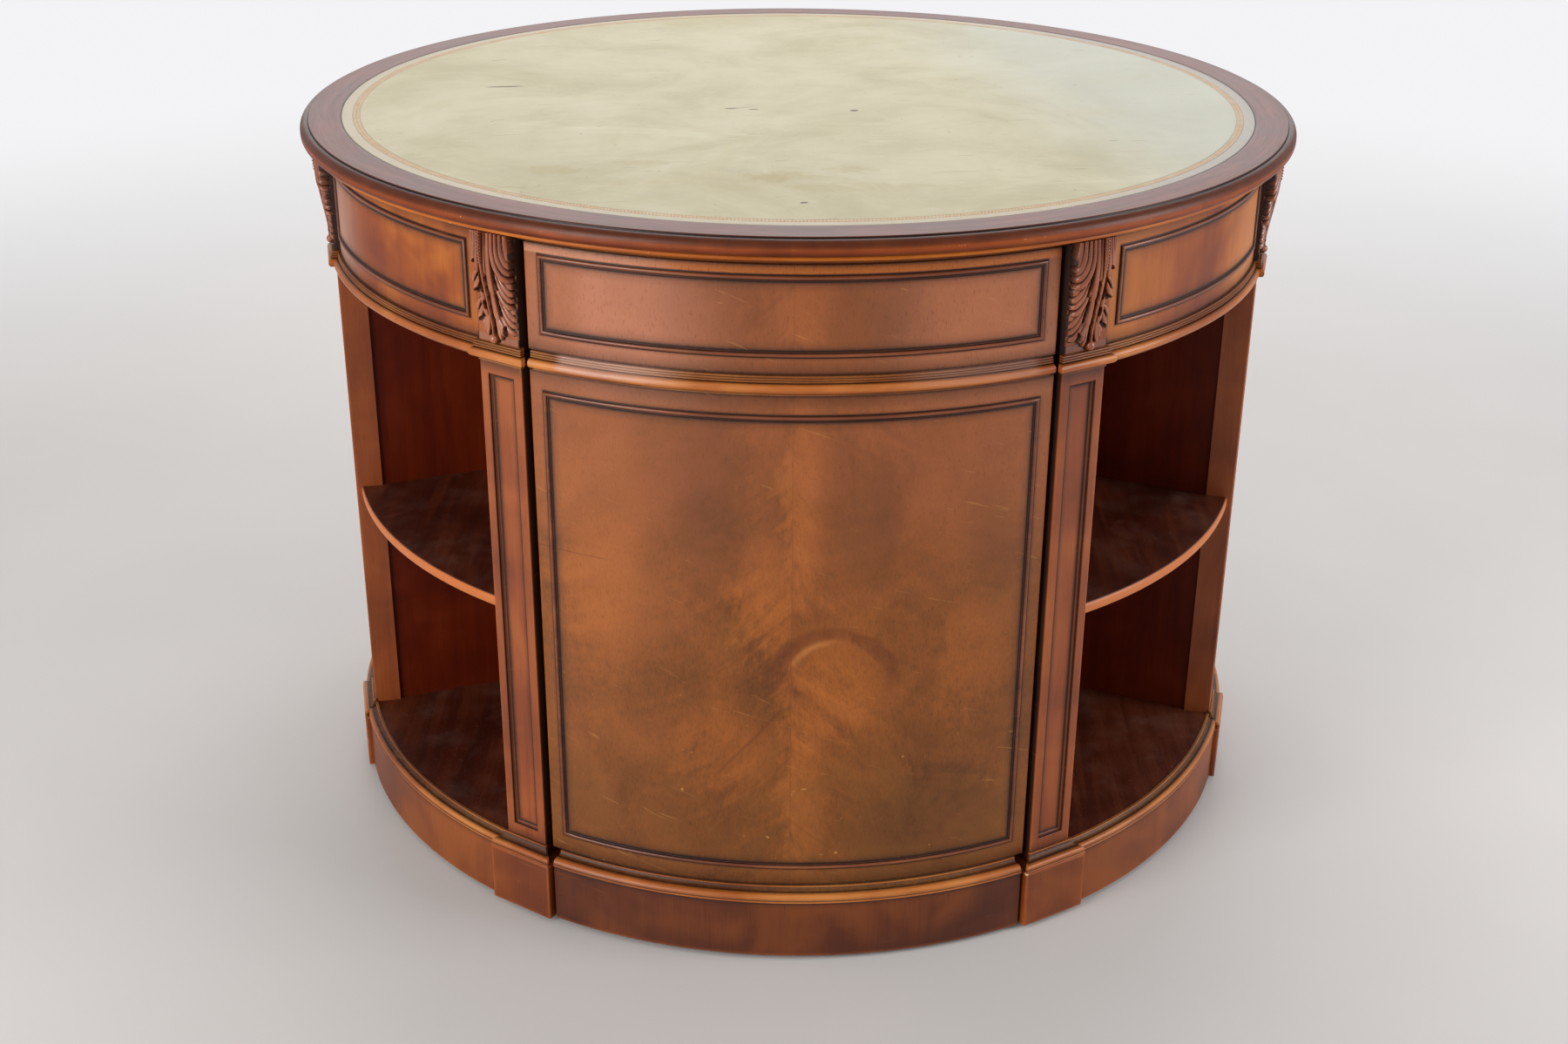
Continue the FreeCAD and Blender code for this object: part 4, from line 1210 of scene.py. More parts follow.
def carve_leaf():
    """A hanging acanthus leaf: broad lobes beside the chair and hooked ones on the other side.

    Every lobe is a fan of fingers that leave the midrib together and sweep outwards, and its
    lowest finger rolls over the roots of the next lobe.
    """
    leaf = Carving()
    # Fingers: root, bend and tip (height from the lobe's low edge), root and full half width.
    first_broad = (
        ((21.2, 38.0), (21.4, 30.0), (23.8, 18.5), 1.9, 2.7),
        ((17.0, 38.0), (16.2, 22.0), (24.0, 11.5), 2.0, 3.1),
        ((12.5, 38.0), (10.8, 15.0), (23.8, 5.0), 2.1, 3.2),
        ((7.6, 38.0), (5.6, 6.0), (23.2, -1.5), 2.3, 3.4),
    )
    broad = (
        ((11.0, 30.0), (18.4, 26.5), (23.6, 17.5), 0.9, 3.2),
        ((8.2, 30.0), (14.4, 19.0), (23.8, 10.5), 0.9, 3.2),
        ((6.0, 29.5), (10.6, 13.0), (23.4, 4.3), 0.9, 3.1),
        ((4.0, 28.5), (7.2, 5.0), (22.4, -2.0), 1.0, 3.2),
    )
    first_hooked = (
        ((-18.8, 34.0), (-19.0, 15.0), (-21.0, 1.0), 1.6, 2.2),
        ((-15.8, 34.0), (-15.6, 20.0), (-18.4, 4.5), 1.7, 2.3),
        ((-12.8, 34.0), (-12.4, 24.0), (-15.4, 9.0), 1.8, 2.4),
        ((-9.6, 34.0), (-9.4, 18.0), (-11.8, 0.0), 1.9, 2.9),
    )
    hooked = (
        ((-11.2, 26.0), (-18.2, 23.5), (-22.6, 11.5), 0.9, 2.9),
        ((-10.4, 24.0), (-15.6, 13.0), (-21.8, 0.8), 1.0, 3.3),
    )
    for low, fingers in (
        (648.0, broad),
        (673.5, broad),
        (700.0, first_broad),
        (652.0, hooked),
        (680.0, hooked),
        (704.5, first_hooked),
    ):
        for order, (root, bend, tip, slim, full) in enumerate(fingers, 1 - len(fingers)):
            spots = [(x, low + above) for x, above in (root, bend, tip)]
            sunk = -0.6 if slim > 1.2 else -5.0
            blunt = 0.86 if tip[0] > 0 else 0.76
            leaf.finger(*spots, slim, full, sunk, 0.7 + 0.7 * order, 3.4, blunt)
    # Tongues lie beside the midrib over the next lobe's roots.
    tongues = (
        ((1.6, 738.0), (0.2, 704.0), (3.0, 682.0), 2.6, 3.5),
        ((-2.9, 738.0), (-3.2, 718.0), (-2.6, 703.0), 1.6, 2.0),
        ((0.6, 700.0), (1.2, 676.0), (4.6, 656.0), 1.2, 3.6),
        ((-9.4, 698.0), (-12.6, 678.0), (-7.6, 658.5), 1.2, 3.2),
    )
    for root, bend, tip, slim, full in tongues:
        leaf.finger(root, bend, tip, slim, full, -2.6, 0.3, 2.8, 0.84)
    # The spray over the tip.
    for root, tips in (
        (0.4, ((12.2, 648.4), (10.4, 642.6), (6.6, 638.8))),
        (-4.6, ((-14.2, 650.4), (-12.2, 645.4), (-9.4, 640.6))),
    ):
        for tip_x, tip_z in tips:
            bend = (root + (tip_x - root) * 0.45, 657.0)
            leaf.finger((root, 668.0), bend, (tip_x, tip_z), 0.9, 2.5, -2.6, 1.0, 2.4, 0.8)
    # The cuts under the lobes and the eyelets beside the midrib, dark with painted shade and old
    # polish.
    gouges = (
        ((-24.2, 702.4), (-12.4, 716.6), 2.5),
        ((-23.6, 677.8), (-11.8, 688.0), 2.3),
        ((-21.6, 649.8), (-13.8, 658.4), 2.1),
        ((-11.6, 704.0), (-9.2, 683.0), 1.5),
        ((-3.9, 704.0), (-3.2, 693.0), 1.7),
        ((-8.8, 676.4), (-7.6, 666.8), 1.6),
        ((-2.6, 676.4), (-1.6, 666.8), 1.6),
        ((13.2, 654.0), (11.4, 642.6), 1.8),
        ((10.0, 639.4), (3.8, 633.6), 1.6),
        ((6.2, 699.5), (8.2, 688.0), 1.2),
        ((6.6, 673.0), (8.6, 661.5), 1.2),
    )
    for start, end, half in gouges:
        leaf.gouge(start, end, half)
    # The midrib stands between two cuts; the cuts and the midrib's edges are dark with painted
    # shade and old polish.
    off = np.abs(leaf.wide - rib_place(leaf.tall))
    half = np.interp(leaf.tall, [640.0, 655.0, 700.0, leaf_high], [0.8, 1.0, 1.3, 1.9])
    beside = leaf.wide > rib_place(leaf.tall)
    wide_cut = np.where(beside, 1.15, np.interp(leaf.tall, [700.0, 712.0], [0.7, 0.25]))
    channel = np.clip(1.3 - np.abs(off - half - 0.5 * wide_cut) / wide_cut, 0, 1)
    channel = channel * (leaf.tall > 643.0)
    leaf.height = leaf.height - 2.2 * channel
    leaf.dark = np.maximum(leaf.dark, channel)
    ratio = off / half
    crest = leaf.swell + 0.4 - 2.0 * (1 - np.sqrt(np.clip(1 - ratio**2, 0, 1)))
    reach = np.where(leaf.tall > 641.0, (1 - ratio) * half, -1.0)
    leaf.lay(crest, reach, np.clip((ratio - 0.7) / 0.3, 0, 1))
    # The curled tip is a ball, dark round its edge with painted shade.
    away = np.hypot(leaf.wide + 2.4, leaf.tall - 638.6)
    ball = 3.0 + np.sqrt(np.clip(4.9**2 - away**2, 0, None))
    leaf.lay(ball, 4.9 - away, np.clip((away - 4.1) / 0.8, 0, 1))
    return leaf


def make_leaves():
    leaf = carve_leaf()
    wide, tall, cover = leaf.wide, leaf.tall, leaf.cover
    carved_out = cover > 0
    # A thin dark ground surrounds the leaf on its post: a painted shadow along its outline.
    kept = cover > -leaf_skirt
    level = np.where(carved_out, np.clip(leaf.height, 0.8, 15.0), 0.3)
    dark = np.where(carved_out, leaf.dark, np.clip(1 + cover / leaf_skirt, 0.2, 1.0))
    soft = level.copy()
    smoothing_rounds = 10
    for _ in range(smoothing_rounds):
        padded = np.pad(soft, 1, mode="edge")
        soft = (padded[:-2, 1:-1] + padded[2:, 1:-1] + padded[1:-1, :-2] + padded[1:-1, 2:]) / 4
    # Points below the blurred heights darken as painted shade with old polish; crests above them
    # are marked rubbed, wear with a painted highlight.
    hollow = np.clip(np.maximum(dark * 0.98, (soft - level) / 0.8 + 0.02), 0, 1)
    crest = np.where(carved_out, np.clip((level - soft - 0.1) / 0.8, 0, 1) * 0.6, 0.0)
    # The leaf is dark by the post's edges: painted shade where the sides fall back.
    hollow = np.where(np.abs(wide) > post_half - 1.1, 1.0, hollow)
    # The head rises to meet the cove under the rim.
    head_low = 732.0
    head = np.clip((tall - head_low) / (leaf_high - head_low), 0, 1)
    lift = head * np.clip((post_face + level - 508.0) * 0.44 - 0.5, 0, None)
    whole = kept[:-1, :-1] & kept[1:, :-1] & kept[:-1, 1:] & kept[1:, 1:]
    corners = np.arange(wide.size).reshape(wide.shape)
    around = corners[:-1, :-1], corners[:-1, 1:], corners[1:, 1:], corners[1:, :-1]
    quads = np.stack(around, axis=-1)[whole].tolist()
    marks = np.stack((hollow, crest), axis=-1)
    for name, chosen in (("front", (0, 1, 6, 7)), ("rear", (2, 3, 4, 5))):
        stock = Stock()
        for turn in (post_turns[count] for count in chosen):
            points = post_place(turn)(post_face + level, wide * hand_of(turn), tall + lift)
            stock.add(points, marks, quads)
        mesh = stock.mesh("acanthus_" + name)
        work = bmesh.new()
        work.from_mesh(mesh)
        loose = [vertex for vertex in work.verts if not vertex.link_faces]
        bmesh.ops.delete(work, geom=loose, context="VERTS")
        # Walls run down from the outline into the post, and a flat back closes them.
        outline = [edge for edge in work.edges if edge.is_boundary]
        walls = bmesh.ops.extrude_edge_only(work, edges=outline)["geom"]
        grime = work.verts.layers.float["grime"]
        for vertex in (part for part in walls if isinstance(part, bmesh.types.BMVert)):
            here = math.degrees(math.atan2(vertex.co.x, -vertex.co.y))
            turn = min(post_turns, key=lambda post: abs((here - post + 180) % 360 - 180))
            flat = Vector((*spot(turn, 1.0, 0.0), 0.0))
            vertex.co -= flat * (vertex.co.dot(flat) - (post_face - 0.4) * MM)
            # The walls under the leaf's outline are dark: painted shade.
            vertex[grime] = 1.0
        rims = [part for part in walls if isinstance(part, bmesh.types.BMEdge)]
        rims = [edge for edge in rims if edge.is_boundary]
        bmesh.ops.triangle_fill(work, edges=rims, use_beauty=False)
        bmesh.ops.recalc_face_normals(work, faces=work.faces)
        work.to_mesh(mesh)
        work.free()
        finished(mesh.name, mesh, carved, "desk", "acanthus_leaves", sharp=70.0, slot="carved_wood")


# ------------------------------------------------------------ what repeats


def repeating_tree(name, material, sides):
    """Nodes that set beads along a line; spacing and half sizes are its named inputs."""
    tree = bpy.data.node_groups.new(name, "GeometryNodeTree")
    face = tree.interface
    face.new_socket("Geometry", in_out="INPUT", socket_type="NodeSocketGeometry")
    sockets = {}
    for label in ("Spacing", "Across", "Lift", "Along"):
        socket = face.new_socket(label, in_out="INPUT", socket_type="NodeSocketFloat")
        sockets[label] = socket.identifier
    face.new_socket("Geometry", in_out="OUTPUT", socket_type="NodeSocketGeometry")

    def node(kind, **settings):
        made = tree.nodes.new(kind)
        for key, value in settings.items():
            setattr(made, key, value)
        return made

    start = node("NodeGroupInput")
    path = node("GeometryNodeMeshToCurve")
    level = node("GeometryNodeSetCurveNormal", mode="Z_UP")
    steps = node("GeometryNodeResampleCurve", mode="LENGTH")
    points = node("GeometryNodeCurveToPoints", mode="EVALUATED")
    bead = node("GeometryNodeMeshUVSphere")
    shape = node("ShaderNodeCombineXYZ")
    scatter = node("GeometryNodeInstanceOnPoints")
    solid = node("GeometryNodeRealizeInstances")
    smooth = node("GeometryNodeSetShadeSmooth")
    paint = node("GeometryNodeSetMaterial")
    end = node("NodeGroupOutput")
    bead.inputs["Segments"].default_value = sides
    bead.inputs["Rings"].default_value = sides // 2
    bead.inputs["Radius"].default_value = 1.0
    paint.inputs["Material"].default_value = material
    wires = (
        (start.outputs["Geometry"], path.inputs[0]),
        (path.outputs[0], level.inputs["Curve"]),
        (level.outputs[0], steps.inputs["Curve"]),
        (start.outputs["Spacing"], steps.inputs["Length"]),
        (steps.outputs[0], points.inputs[0]),
        (points.outputs["Points"], scatter.inputs["Points"]),
        (points.outputs["Rotation"], scatter.inputs["Rotation"]),
        (bead.outputs["Mesh"], scatter.inputs["Instance"]),
        (start.outputs["Across"], shape.inputs[0]),
        (start.outputs["Lift"], shape.inputs[1]),
        (start.outputs["Along"], shape.inputs[2]),
        (shape.outputs[0], scatter.inputs["Scale"]),
        (scatter.outputs[0], solid.inputs[0]),
        (solid.outputs[0], smooth.inputs[0]),
        (smooth.outputs[0], paint.inputs["Geometry"]),
        (paint.outputs[0], end.inputs[0]),
    )
    for out, into in wires:
        tree.links.new(out, into)
    return tree, sockets


def beads_along(name, lines, material, body, spacing, half_sizes, sides=8, slot=None):
    """Small beads along lines of points, as one plain mesh on a body.

    The half sizes are across the line, upright from it and along it, all in millimetres.
    """
    points = []
    edges = []
    for line in lines:
        start = len(points)
        points.extend(np.array(line) * MM)
        edges.extend((start + step, start + step + 1) for step in range(len(line) - 1))
    mesh = bpy.data.meshes.new(name + "_line")
    mesh.from_pydata(points, edges, [])
    guide = placed(name + "_line", mesh)
    tree, sockets = repeating_tree(name, material, sides)
    strung = guide.modifiers.new("string", "NODES")
    strung.node_group = tree
    for label, value in zip(sockets, (spacing, *half_sizes)):
        strung[sockets[label]] = value * MM
    made = plain_mesh(guide)
    made.name = name
    return finished(name, made, material, body, sharp=180.0, slot=slot)


def make_leaf_beads():
    lines = []
    up = np.linspace(741.5, 714.5, 14)
    out = post_face + leaf_swell(up) + 0.1
    for turn in post_turns:
        lines.append(post_place(turn)(out, rib_place(up) * hand_of(turn), up))
    sizes = (1.7, 1.4, 1.25)
    beads_along("midrib_beads", lines, carved, "desk", 2.9, sizes, slot="carved_wood")


def ring_line(radius, up):
    return turned(radius, np.linspace(0, 2 * math.pi, 721), up)


def make_tooling():
    """The stamped border: two lines of fine dashes with small lozenges between them."""
    dashes = [ring_line(473.4, 767.66), ring_line(478.6, 767.66)]
    beads_along("tooled_dashes", dashes, gilt, "desk", 3.4, (0.4, 0.3, 1.2), 6)
    lozenges = [ring_line(476.0, 767.64)]
    beads_along("tooled_lozenges", lozenges, gilt, "desk", 3.4, (1.5, 0.32, 0.6), 6)


# ------------------------------------------------------------ friezes, rails and panels


def frame_line():
    """The applied bead: a thin dark fillet, a round and a dark quirk down to the panel."""
    line = moulded(
        (3.5, -0.6, 1.0, 0.0),
        (3.5, 0.15, 1.0, 0.0),
        (2.6, 0.3, 0.95, 0.0),
        (-1.2, 0.5, 1.0, 0.0, 1.85, 0.2, 0.3),
        (-1.7, 0.5, 1.0, 0.0),
        (-2.6, 0.2, 1.0, 0.0, 0.35, 0.75, 0.1),
        (-3.5, 0.1, 1.0, 0.0),
        (-3.5, -0.6, 1.0, 0.0),
        count=7,
    )
    line[:, 1] += drum_radius
    return line


def drum_panel(stock, beads, middle, half_turn, inset, bead_inset, up_range, bead_range, inner):
    """A curved panel of the drum with an applied bead frame on it.

    The way across is a share of half the panel, so a unit is the share of one millimetre.
    """
    bead_half = 3.5
    half_angle = square_end(half_turn, inset)
    span = float(half_angle(drum_radius))
    unit = 1.0 / (span * drum_radius)
    bead_share = float(square_end(half_turn, bead_inset + bead_half)(drum_radius)) / span
    low, high = up_range
    box = (-bead_share, bead_share, bead_range[0] + bead_half, bead_range[1] - bead_half)
    spread = np.array((-7.0, -5.0, -4.2, -3.4, 3.4, 4.6, 7.0, 13.0))
    worn = np.array((1.2, 3.0))
    ends = np.concatenate((worn * unit - 1, 1 - worn * unit))
    across_marks = np.concatenate((box[0] + spread * unit, box[1] - spread * unit, ends))
    up_marks = np.concatenate((box[2] + spread, box[3] - spread, low + worn, high - worn))
    across = close_lines(-1.0, 1.0, across_marks, 8.0 * unit)
    up = close_lines(low, high, up_marks, 30.0)

    def face(wide, tall):
        side = (1 - np.abs(wide)) / unit
        return drum_radius - np.where(side < 1.2, 0.5 * (1 - side / 1.2) ** 2, 0.0)

    def marks(wide, tall):
        away = inside(wide / unit, tall, (box[0] / unit, box[1] / unit, *box[2:]))
        grime = np.interp(away, spread, [0.0, 0.12, 0.4, 0.95, 1.0, 0.6, 0.24, 0.0])
        rub = np.interp((1 - np.abs(wide)) / unit, [0.0, 1.2, 3.0], [0.7, 0.4, 0.0])
        foot = np.interp(np.minimum(tall - low, high - tall), [0.0, 3.0, 12.0], [0.9, 0.4, 0.0])
        return np.stack((np.maximum(grime, foot), rub), axis=-1)

    place = drum_place(middle, half_angle)
    relief(stock, place, across, up, face, marks, inner)
    framed(beads, place, box, frame_line(), scale=unit)


def rail_line(back):
    """A plinth rail, worn along its foot and dirty under its moulding."""
    return moulded(
        (back, glide_top, 0.0, 0.0),
        (518.0, glide_top, 0.3, 0.3),
        (plinth_radius, 6.0, 0.1, 0.7),
        (plinth_radius, 9.0, 0.1, 0.0),
        (plinth_radius, 62.0, 0.0, 0.0),
        (plinth_radius, 67.0, 0.25, 0.0),
        (plinth_radius, plinth_top, 0.9, 0.0),
        (back, plinth_top, 0.0, 0.0),
    )


def make_friezes():
    rear, beads, waists, rails, bases = (Stock() for _ in range(5))
    waist = waist_line(drum_radius, 9.0, frieze_back)
    base = base_line(board_radius, 12.5, 83.0, board_radius)
    up_range = (frieze_low, carcase_top)
    for count, (start, end) in enumerate(bays):
        middle, half = (start + end) / 2, (end - start) / 2
        name = {0: "frieze_right", len(bays) - 1: "frieze_left"}.get(count)
        stock = Stock() if name else rear
        drum_panel(
            stock, beads, middle, half, post_half, 39.0, up_range, frieze_bead, frieze_back
        )
        if name:
            stock.piece(name, honey, "desk", name)
        bay_run(waists, waist, middle, mitred_end(half, drum_radius))
        bay_run(rails, rail_line(rail_back), middle, square_end(half, block_half))
        bay_run(bases, base, middle, mitred_end(half, board_radius))
    rear.piece("rear_friezes", honey, "desk", "rear_friezes")
    beads.piece("frieze_beads", bead_wood, "desk", "frieze_beads")
    waists.piece("waist_mouldings", moulding, "desk", "waist_mouldings")
    rails.piece("plinth_rails", plinth_wood, "desk", "plinth_rails")
    bases.piece("plinth_mouldings", moulding, "desk", "plinth_mouldings")


def make_chair_back():
    # How far each part's ends lie in from the middle of the posts beside the chair.
    panel_gap, bead_gap, waist_gap, plinth_gap = 30.5, 44.5, 35.5, 42.0
    beads, trims, rails = Stock(), Stock(), Stock()
    for name, up_range, bead_range in (
        ("chair_frieze", (frieze_low, 736.0), frieze_bead),
        ("chair_back_panel", (83.0, waist_low), (102.0, 594.0)),
    ):
        stock = Stock()
        gaps = (panel_gap, bead_gap)
        drum_panel(stock, beads, 0.0, chair_turn, *gaps, up_range, bead_range, chair_inside)
        stock.piece(name, flame, "chair", name)
    beads.piece("chair_beads", bead_wood, "chair", "chair_beads")
    waist = waist_line(drum_radius, 9.0, chair_inside)
    bay_run(trims, waist, 0.0, square_end(chair_turn, waist_gap))
    base = base_line(drum_radius, 15.5, 83.0, chair_inside)
    bay_run(trims, base, 0.0, square_end(chair_turn, plinth_gap))
    trims.piece("chair_mouldings", moulding, "chair", "chair_mouldings")
    bay_run(rails, rail_line(chair_inside), 0.0, square_end(chair_turn, plinth_gap))
    rails.piece("chair_plinth_rail", kick_wood, "chair", "chair_plinth_rail")


# ------------------------------------------------------------ bookcase


def meeting(point, way, other, other_way):
    """Plan point where two lines cross."""
    scale = (other[0] - point[0]) * other_way[1] - (other[1] - point[1]) * other_way[0]
    scale /= way[0] * other_way[1] - way[1] * other_way[0]
    return point[0] + scale * way[0], point[1] + scale * way[1]


def core_spot(turn):
    """Corner of the back panels on a post's line, or at the kneehole for the side posts."""
    if turn in (side_turn, 360.0 - side_turn):
        return -hand_of(turn) * kneehole_side, kneehole_outside
    return spot(turn, core_radius, 0)


def across_way(turn):
    """Plan direction across a post."""
    return math.cos(math.radians(turn)), math.sin(math.radians(turn))


def front_bay_tail(side):
    """Way round the back of a front shelf: side post, partition, kneehole, chair's post."""
    post_turn, chair_post = side_turn * side, chair_turn * side
    inner = meeting(
        spot(chair_post, post_back, 0), across_way(chair_post), (kneehole_side * side, 0), (0, 1)
    )
    tail = [
        spot(post_turn, post_back, -post_half * side),
        spot(post_turn, post_back, -partition_edge * side),
        (kneehole_side * side, kneehole_rear),
        inner,
        spot(chair_post, post_back, post_half * side),
    ]
    return tail if side > 0 else tail[::-1]


def rear_bay_tail(start, end):
    """Way round the back of a rear shelf, between its partitions and along the back panels."""
    chord = core_spot(start), np.subtract(core_spot(end), core_spot(start))
    tail = []
    for turn, side in ((end, -1), (start, 1)):
        if turn in (side_turn, 360.0 - side_turn):
            sign = -hand_of(turn)
            corner = np.array((kneehole_side * sign, kneehole_rear))
            run = np.array(spot(turn, post_back, -partition_edge * sign)) - corner
            thick = 2 * partition_half * sign
            shifted = corner + np.array((-run[1], run[0])) / np.hypot(*run) * thick
            first = meeting(shifted, run, spot(turn, post_back, 0), across_way(turn))
            second = meeting(shifted, run, *chord)
        else:
            first = spot(turn, post_back, side * partition_half)
            second = meeting(spot(turn, 0, side * partition_half), spot(turn, 1, 0), *chord)
        here = [spot(turn, post_back, side * post_half), first, second]
        tail += here if side < 0 else here[::-1]
    return tail


def shelf_plan(count, radius):
    """Outline of the shelf in a bay, its front round at the given radius."""
    start, end = bays[count]
    reach = math.sqrt(radius**2 - post_half**2)
    front = (spot(start, reach, post_half), spot(end, reach, -post_half))
    turns = np.linspace(*(math.atan2(x, -y) % (2 * math.pi) for x, y in front), arc_points)
    arc = list(zip(radius * np.sin(turns), -radius * np.cos(turns)))
    if count in (0, len(bays) - 1):
        return arc + front_bay_tail(1 if count == 0 else -1)
    return arc + rear_bay_tail(start, end)


def add_shelf(stock, count):
    """One shelf, from its low face round its nose to its high one."""
    levels = (
        (2.2, shelf_low),
        (0.8, shelf_low + 1.2),
        (0.1, shelf_low + 3.0),
        (0.0, (shelf_low + shelf_high) / 2),
        (0.1, shelf_high - 3.0),
        (0.8, shelf_high - 1.2),
        (2.2, shelf_high),
        (4.6, shelf_high),
    )
    rows = []
    for setback, up in levels:
        rows.append([(x, y, up) for x, y in shelf_plan(count, drum_radius - setback)])
    rows = np.array(rows, float)
    marks = np.zeros(rows.shape[:2] + (2,))
    marks[1:6, :arc_points, 1] = 0.75
    marks[0, :arc_points, 0] = 0.6
    marks[6, :arc_points, 0] = 0.2
    stock.skin(rows, marks, False, True)


def make_shelves():
    last = len(bays) - 1
    for name, chosen in (
        ("shelf_right", (0,)),
        ("shelf_left", (last,)),
        ("rear_shelves", range(1, last)),
    ):
        stock = Stock()
        for count in chosen:
            add_shelf(stock, count)
        stock.piece(name, board_wood, "desk", name)


# ------------------------------------------------------------ the chair's cushions


def evened(line, spacing):
    """Points at even steps along a closed line."""
    shut = np.vstack((line, line[:1]))
    gone = np.append(0, np.cumsum(np.linalg.norm(np.diff(shut, axis=0), axis=1)))
    marks = np.linspace(0, gone[-1], round(gone[-1] / spacing), endpoint=False)
    axes = [np.interp(marks, gone, shut[:, axis]) for axis in range(line.shape[1])]
    return np.stack(axes, axis=-1)


def sewn_outline(half_width, low, high, radius, pull, spacing=4.0):
    """A closed outline with round corners, its sides pulled in between them."""
    corners = [(-half_width, low), (half_width, low), (half_width, high), (-half_width, high)]
    corners = np.array(corners, float)
    line = []
    for index in range(4):
        start, end, after = (corners[(index + step) % 4] for step in range(3))
        length = np.hypot(*(end - start))
        way = (end - start) / length
        next_way = (after - end) / np.hypot(*(after - end))
        share = np.linspace(0, 1, 40)[:, None]
        gone = radius + share * (length - 2 * radius)
        inward = np.array((-way[1], way[0]))
        line.extend(start + way * gone + inward * pull * np.sin(share * math.pi) ** 2)
        turn = np.linspace(0, 1, 10)[1:-1, None]
        line.extend(end - way * radius * (1 - turn) ** 2 + next_way * radius * turn**2)
    return evened(np.array(line), spacing)


def inset_outline(outline, depth):
    way = np.roll(outline, -1, axis=0) - np.roll(outline, 1, axis=0)
    way /= np.hypot(way[:, 0], way[:, 1])[:, None]
    return outline + depth * np.stack((-way[:, 1], way[:, 0]), axis=-1)


def corded(stock, line, above, radius, sides=10):
    """A welt cord along a closed line."""
    way = np.roll(line, -1, axis=0) - np.roll(line, 1, axis=0)
    way /= np.linalg.norm(way, axis=1)[:, None]
    beside = np.cross(way, above)
    beside /= np.linalg.norm(beside, axis=1)[:, None]
    over = np.cross(beside, way)
    turns = np.linspace(0, 2 * math.pi, sides, endpoint=False)[:, None]
    ring = np.cos(turns) * beside[:, None] + np.sin(turns) * over[:, None]
    stock.skin(line[:, None] + radius * ring, 0.0, True, True)


def made_plain(name, mesh, *modifiers):
    """The mesh after its modifiers, each a kind with its settings, as a plain mesh."""
    thing = placed(name, mesh)
    for kind, settings in modifiers:
        modifier = thing.modifiers.new(kind.lower(), kind)
        for key, value in settings.items():
            setattr(modifier, key, value)
    return plain_mesh(thing)


def points_of(mesh):
    points = np.empty(len(mesh.vertices) * 3)
    mesh.vertices.foreach_get("co", points)
    return points.reshape(-1, 3)


def gap_to(points, line):
    """How far each point lies from a line of points."""
    gap = np.empty(len(points))
    for start in range(0, len(points), 2000):
        part = points[start : start + 2000, None] - line[None]
        gap[start : start + 2000] = np.sqrt((part**2).sum(axis=-1)).min(axis=-1)
    return gap


def stuffed(mesh, held, cap, pressure):
    """Where the hide's points go under the stuffing when it is held where it is sewn."""
    scene = bpy.context.scene
    last_step = 20
    pad = placed("pad", mesh)
    group = pad.vertex_groups.new(name="sewn")
    group.add([int(index) for index in np.nonzero(held)[0]], 1.0, "REPLACE")
    cloth = pad.modifiers.new("cloth", "CLOTH")
    cloth.settings.vertex_group_mass = "sewn"
    cloth.settings.quality = 6
    cloth.settings.mass = 0.4
    cloth.settings.bending_stiffness = 1.5
    cloth.settings.use_pressure = True
    cloth.settings.uniform_pressure_force = pressure
    cloth.settings.shrink_min = -0.02
    cloth.settings.effector_weights.gravity = 0.0
    cloth.point_cache.frame_start = 1
    cloth.point_cache.frame_end = last_step
    for step in range(1, last_step + 1):
        scene.frame_set(step)
    seen = pad.evaluated_get(bpy.context.evaluated_depsgraph_get())
    start = points_of(mesh)
    move = points_of(seen.data) - start
    bpy.data.objects.remove(pad)
    scene.frame_set(1)
    length = np.linalg.norm(move, axis=1)[:, None] + 1e-9
    return start + move * np.tanh(length / cap) * cap / length


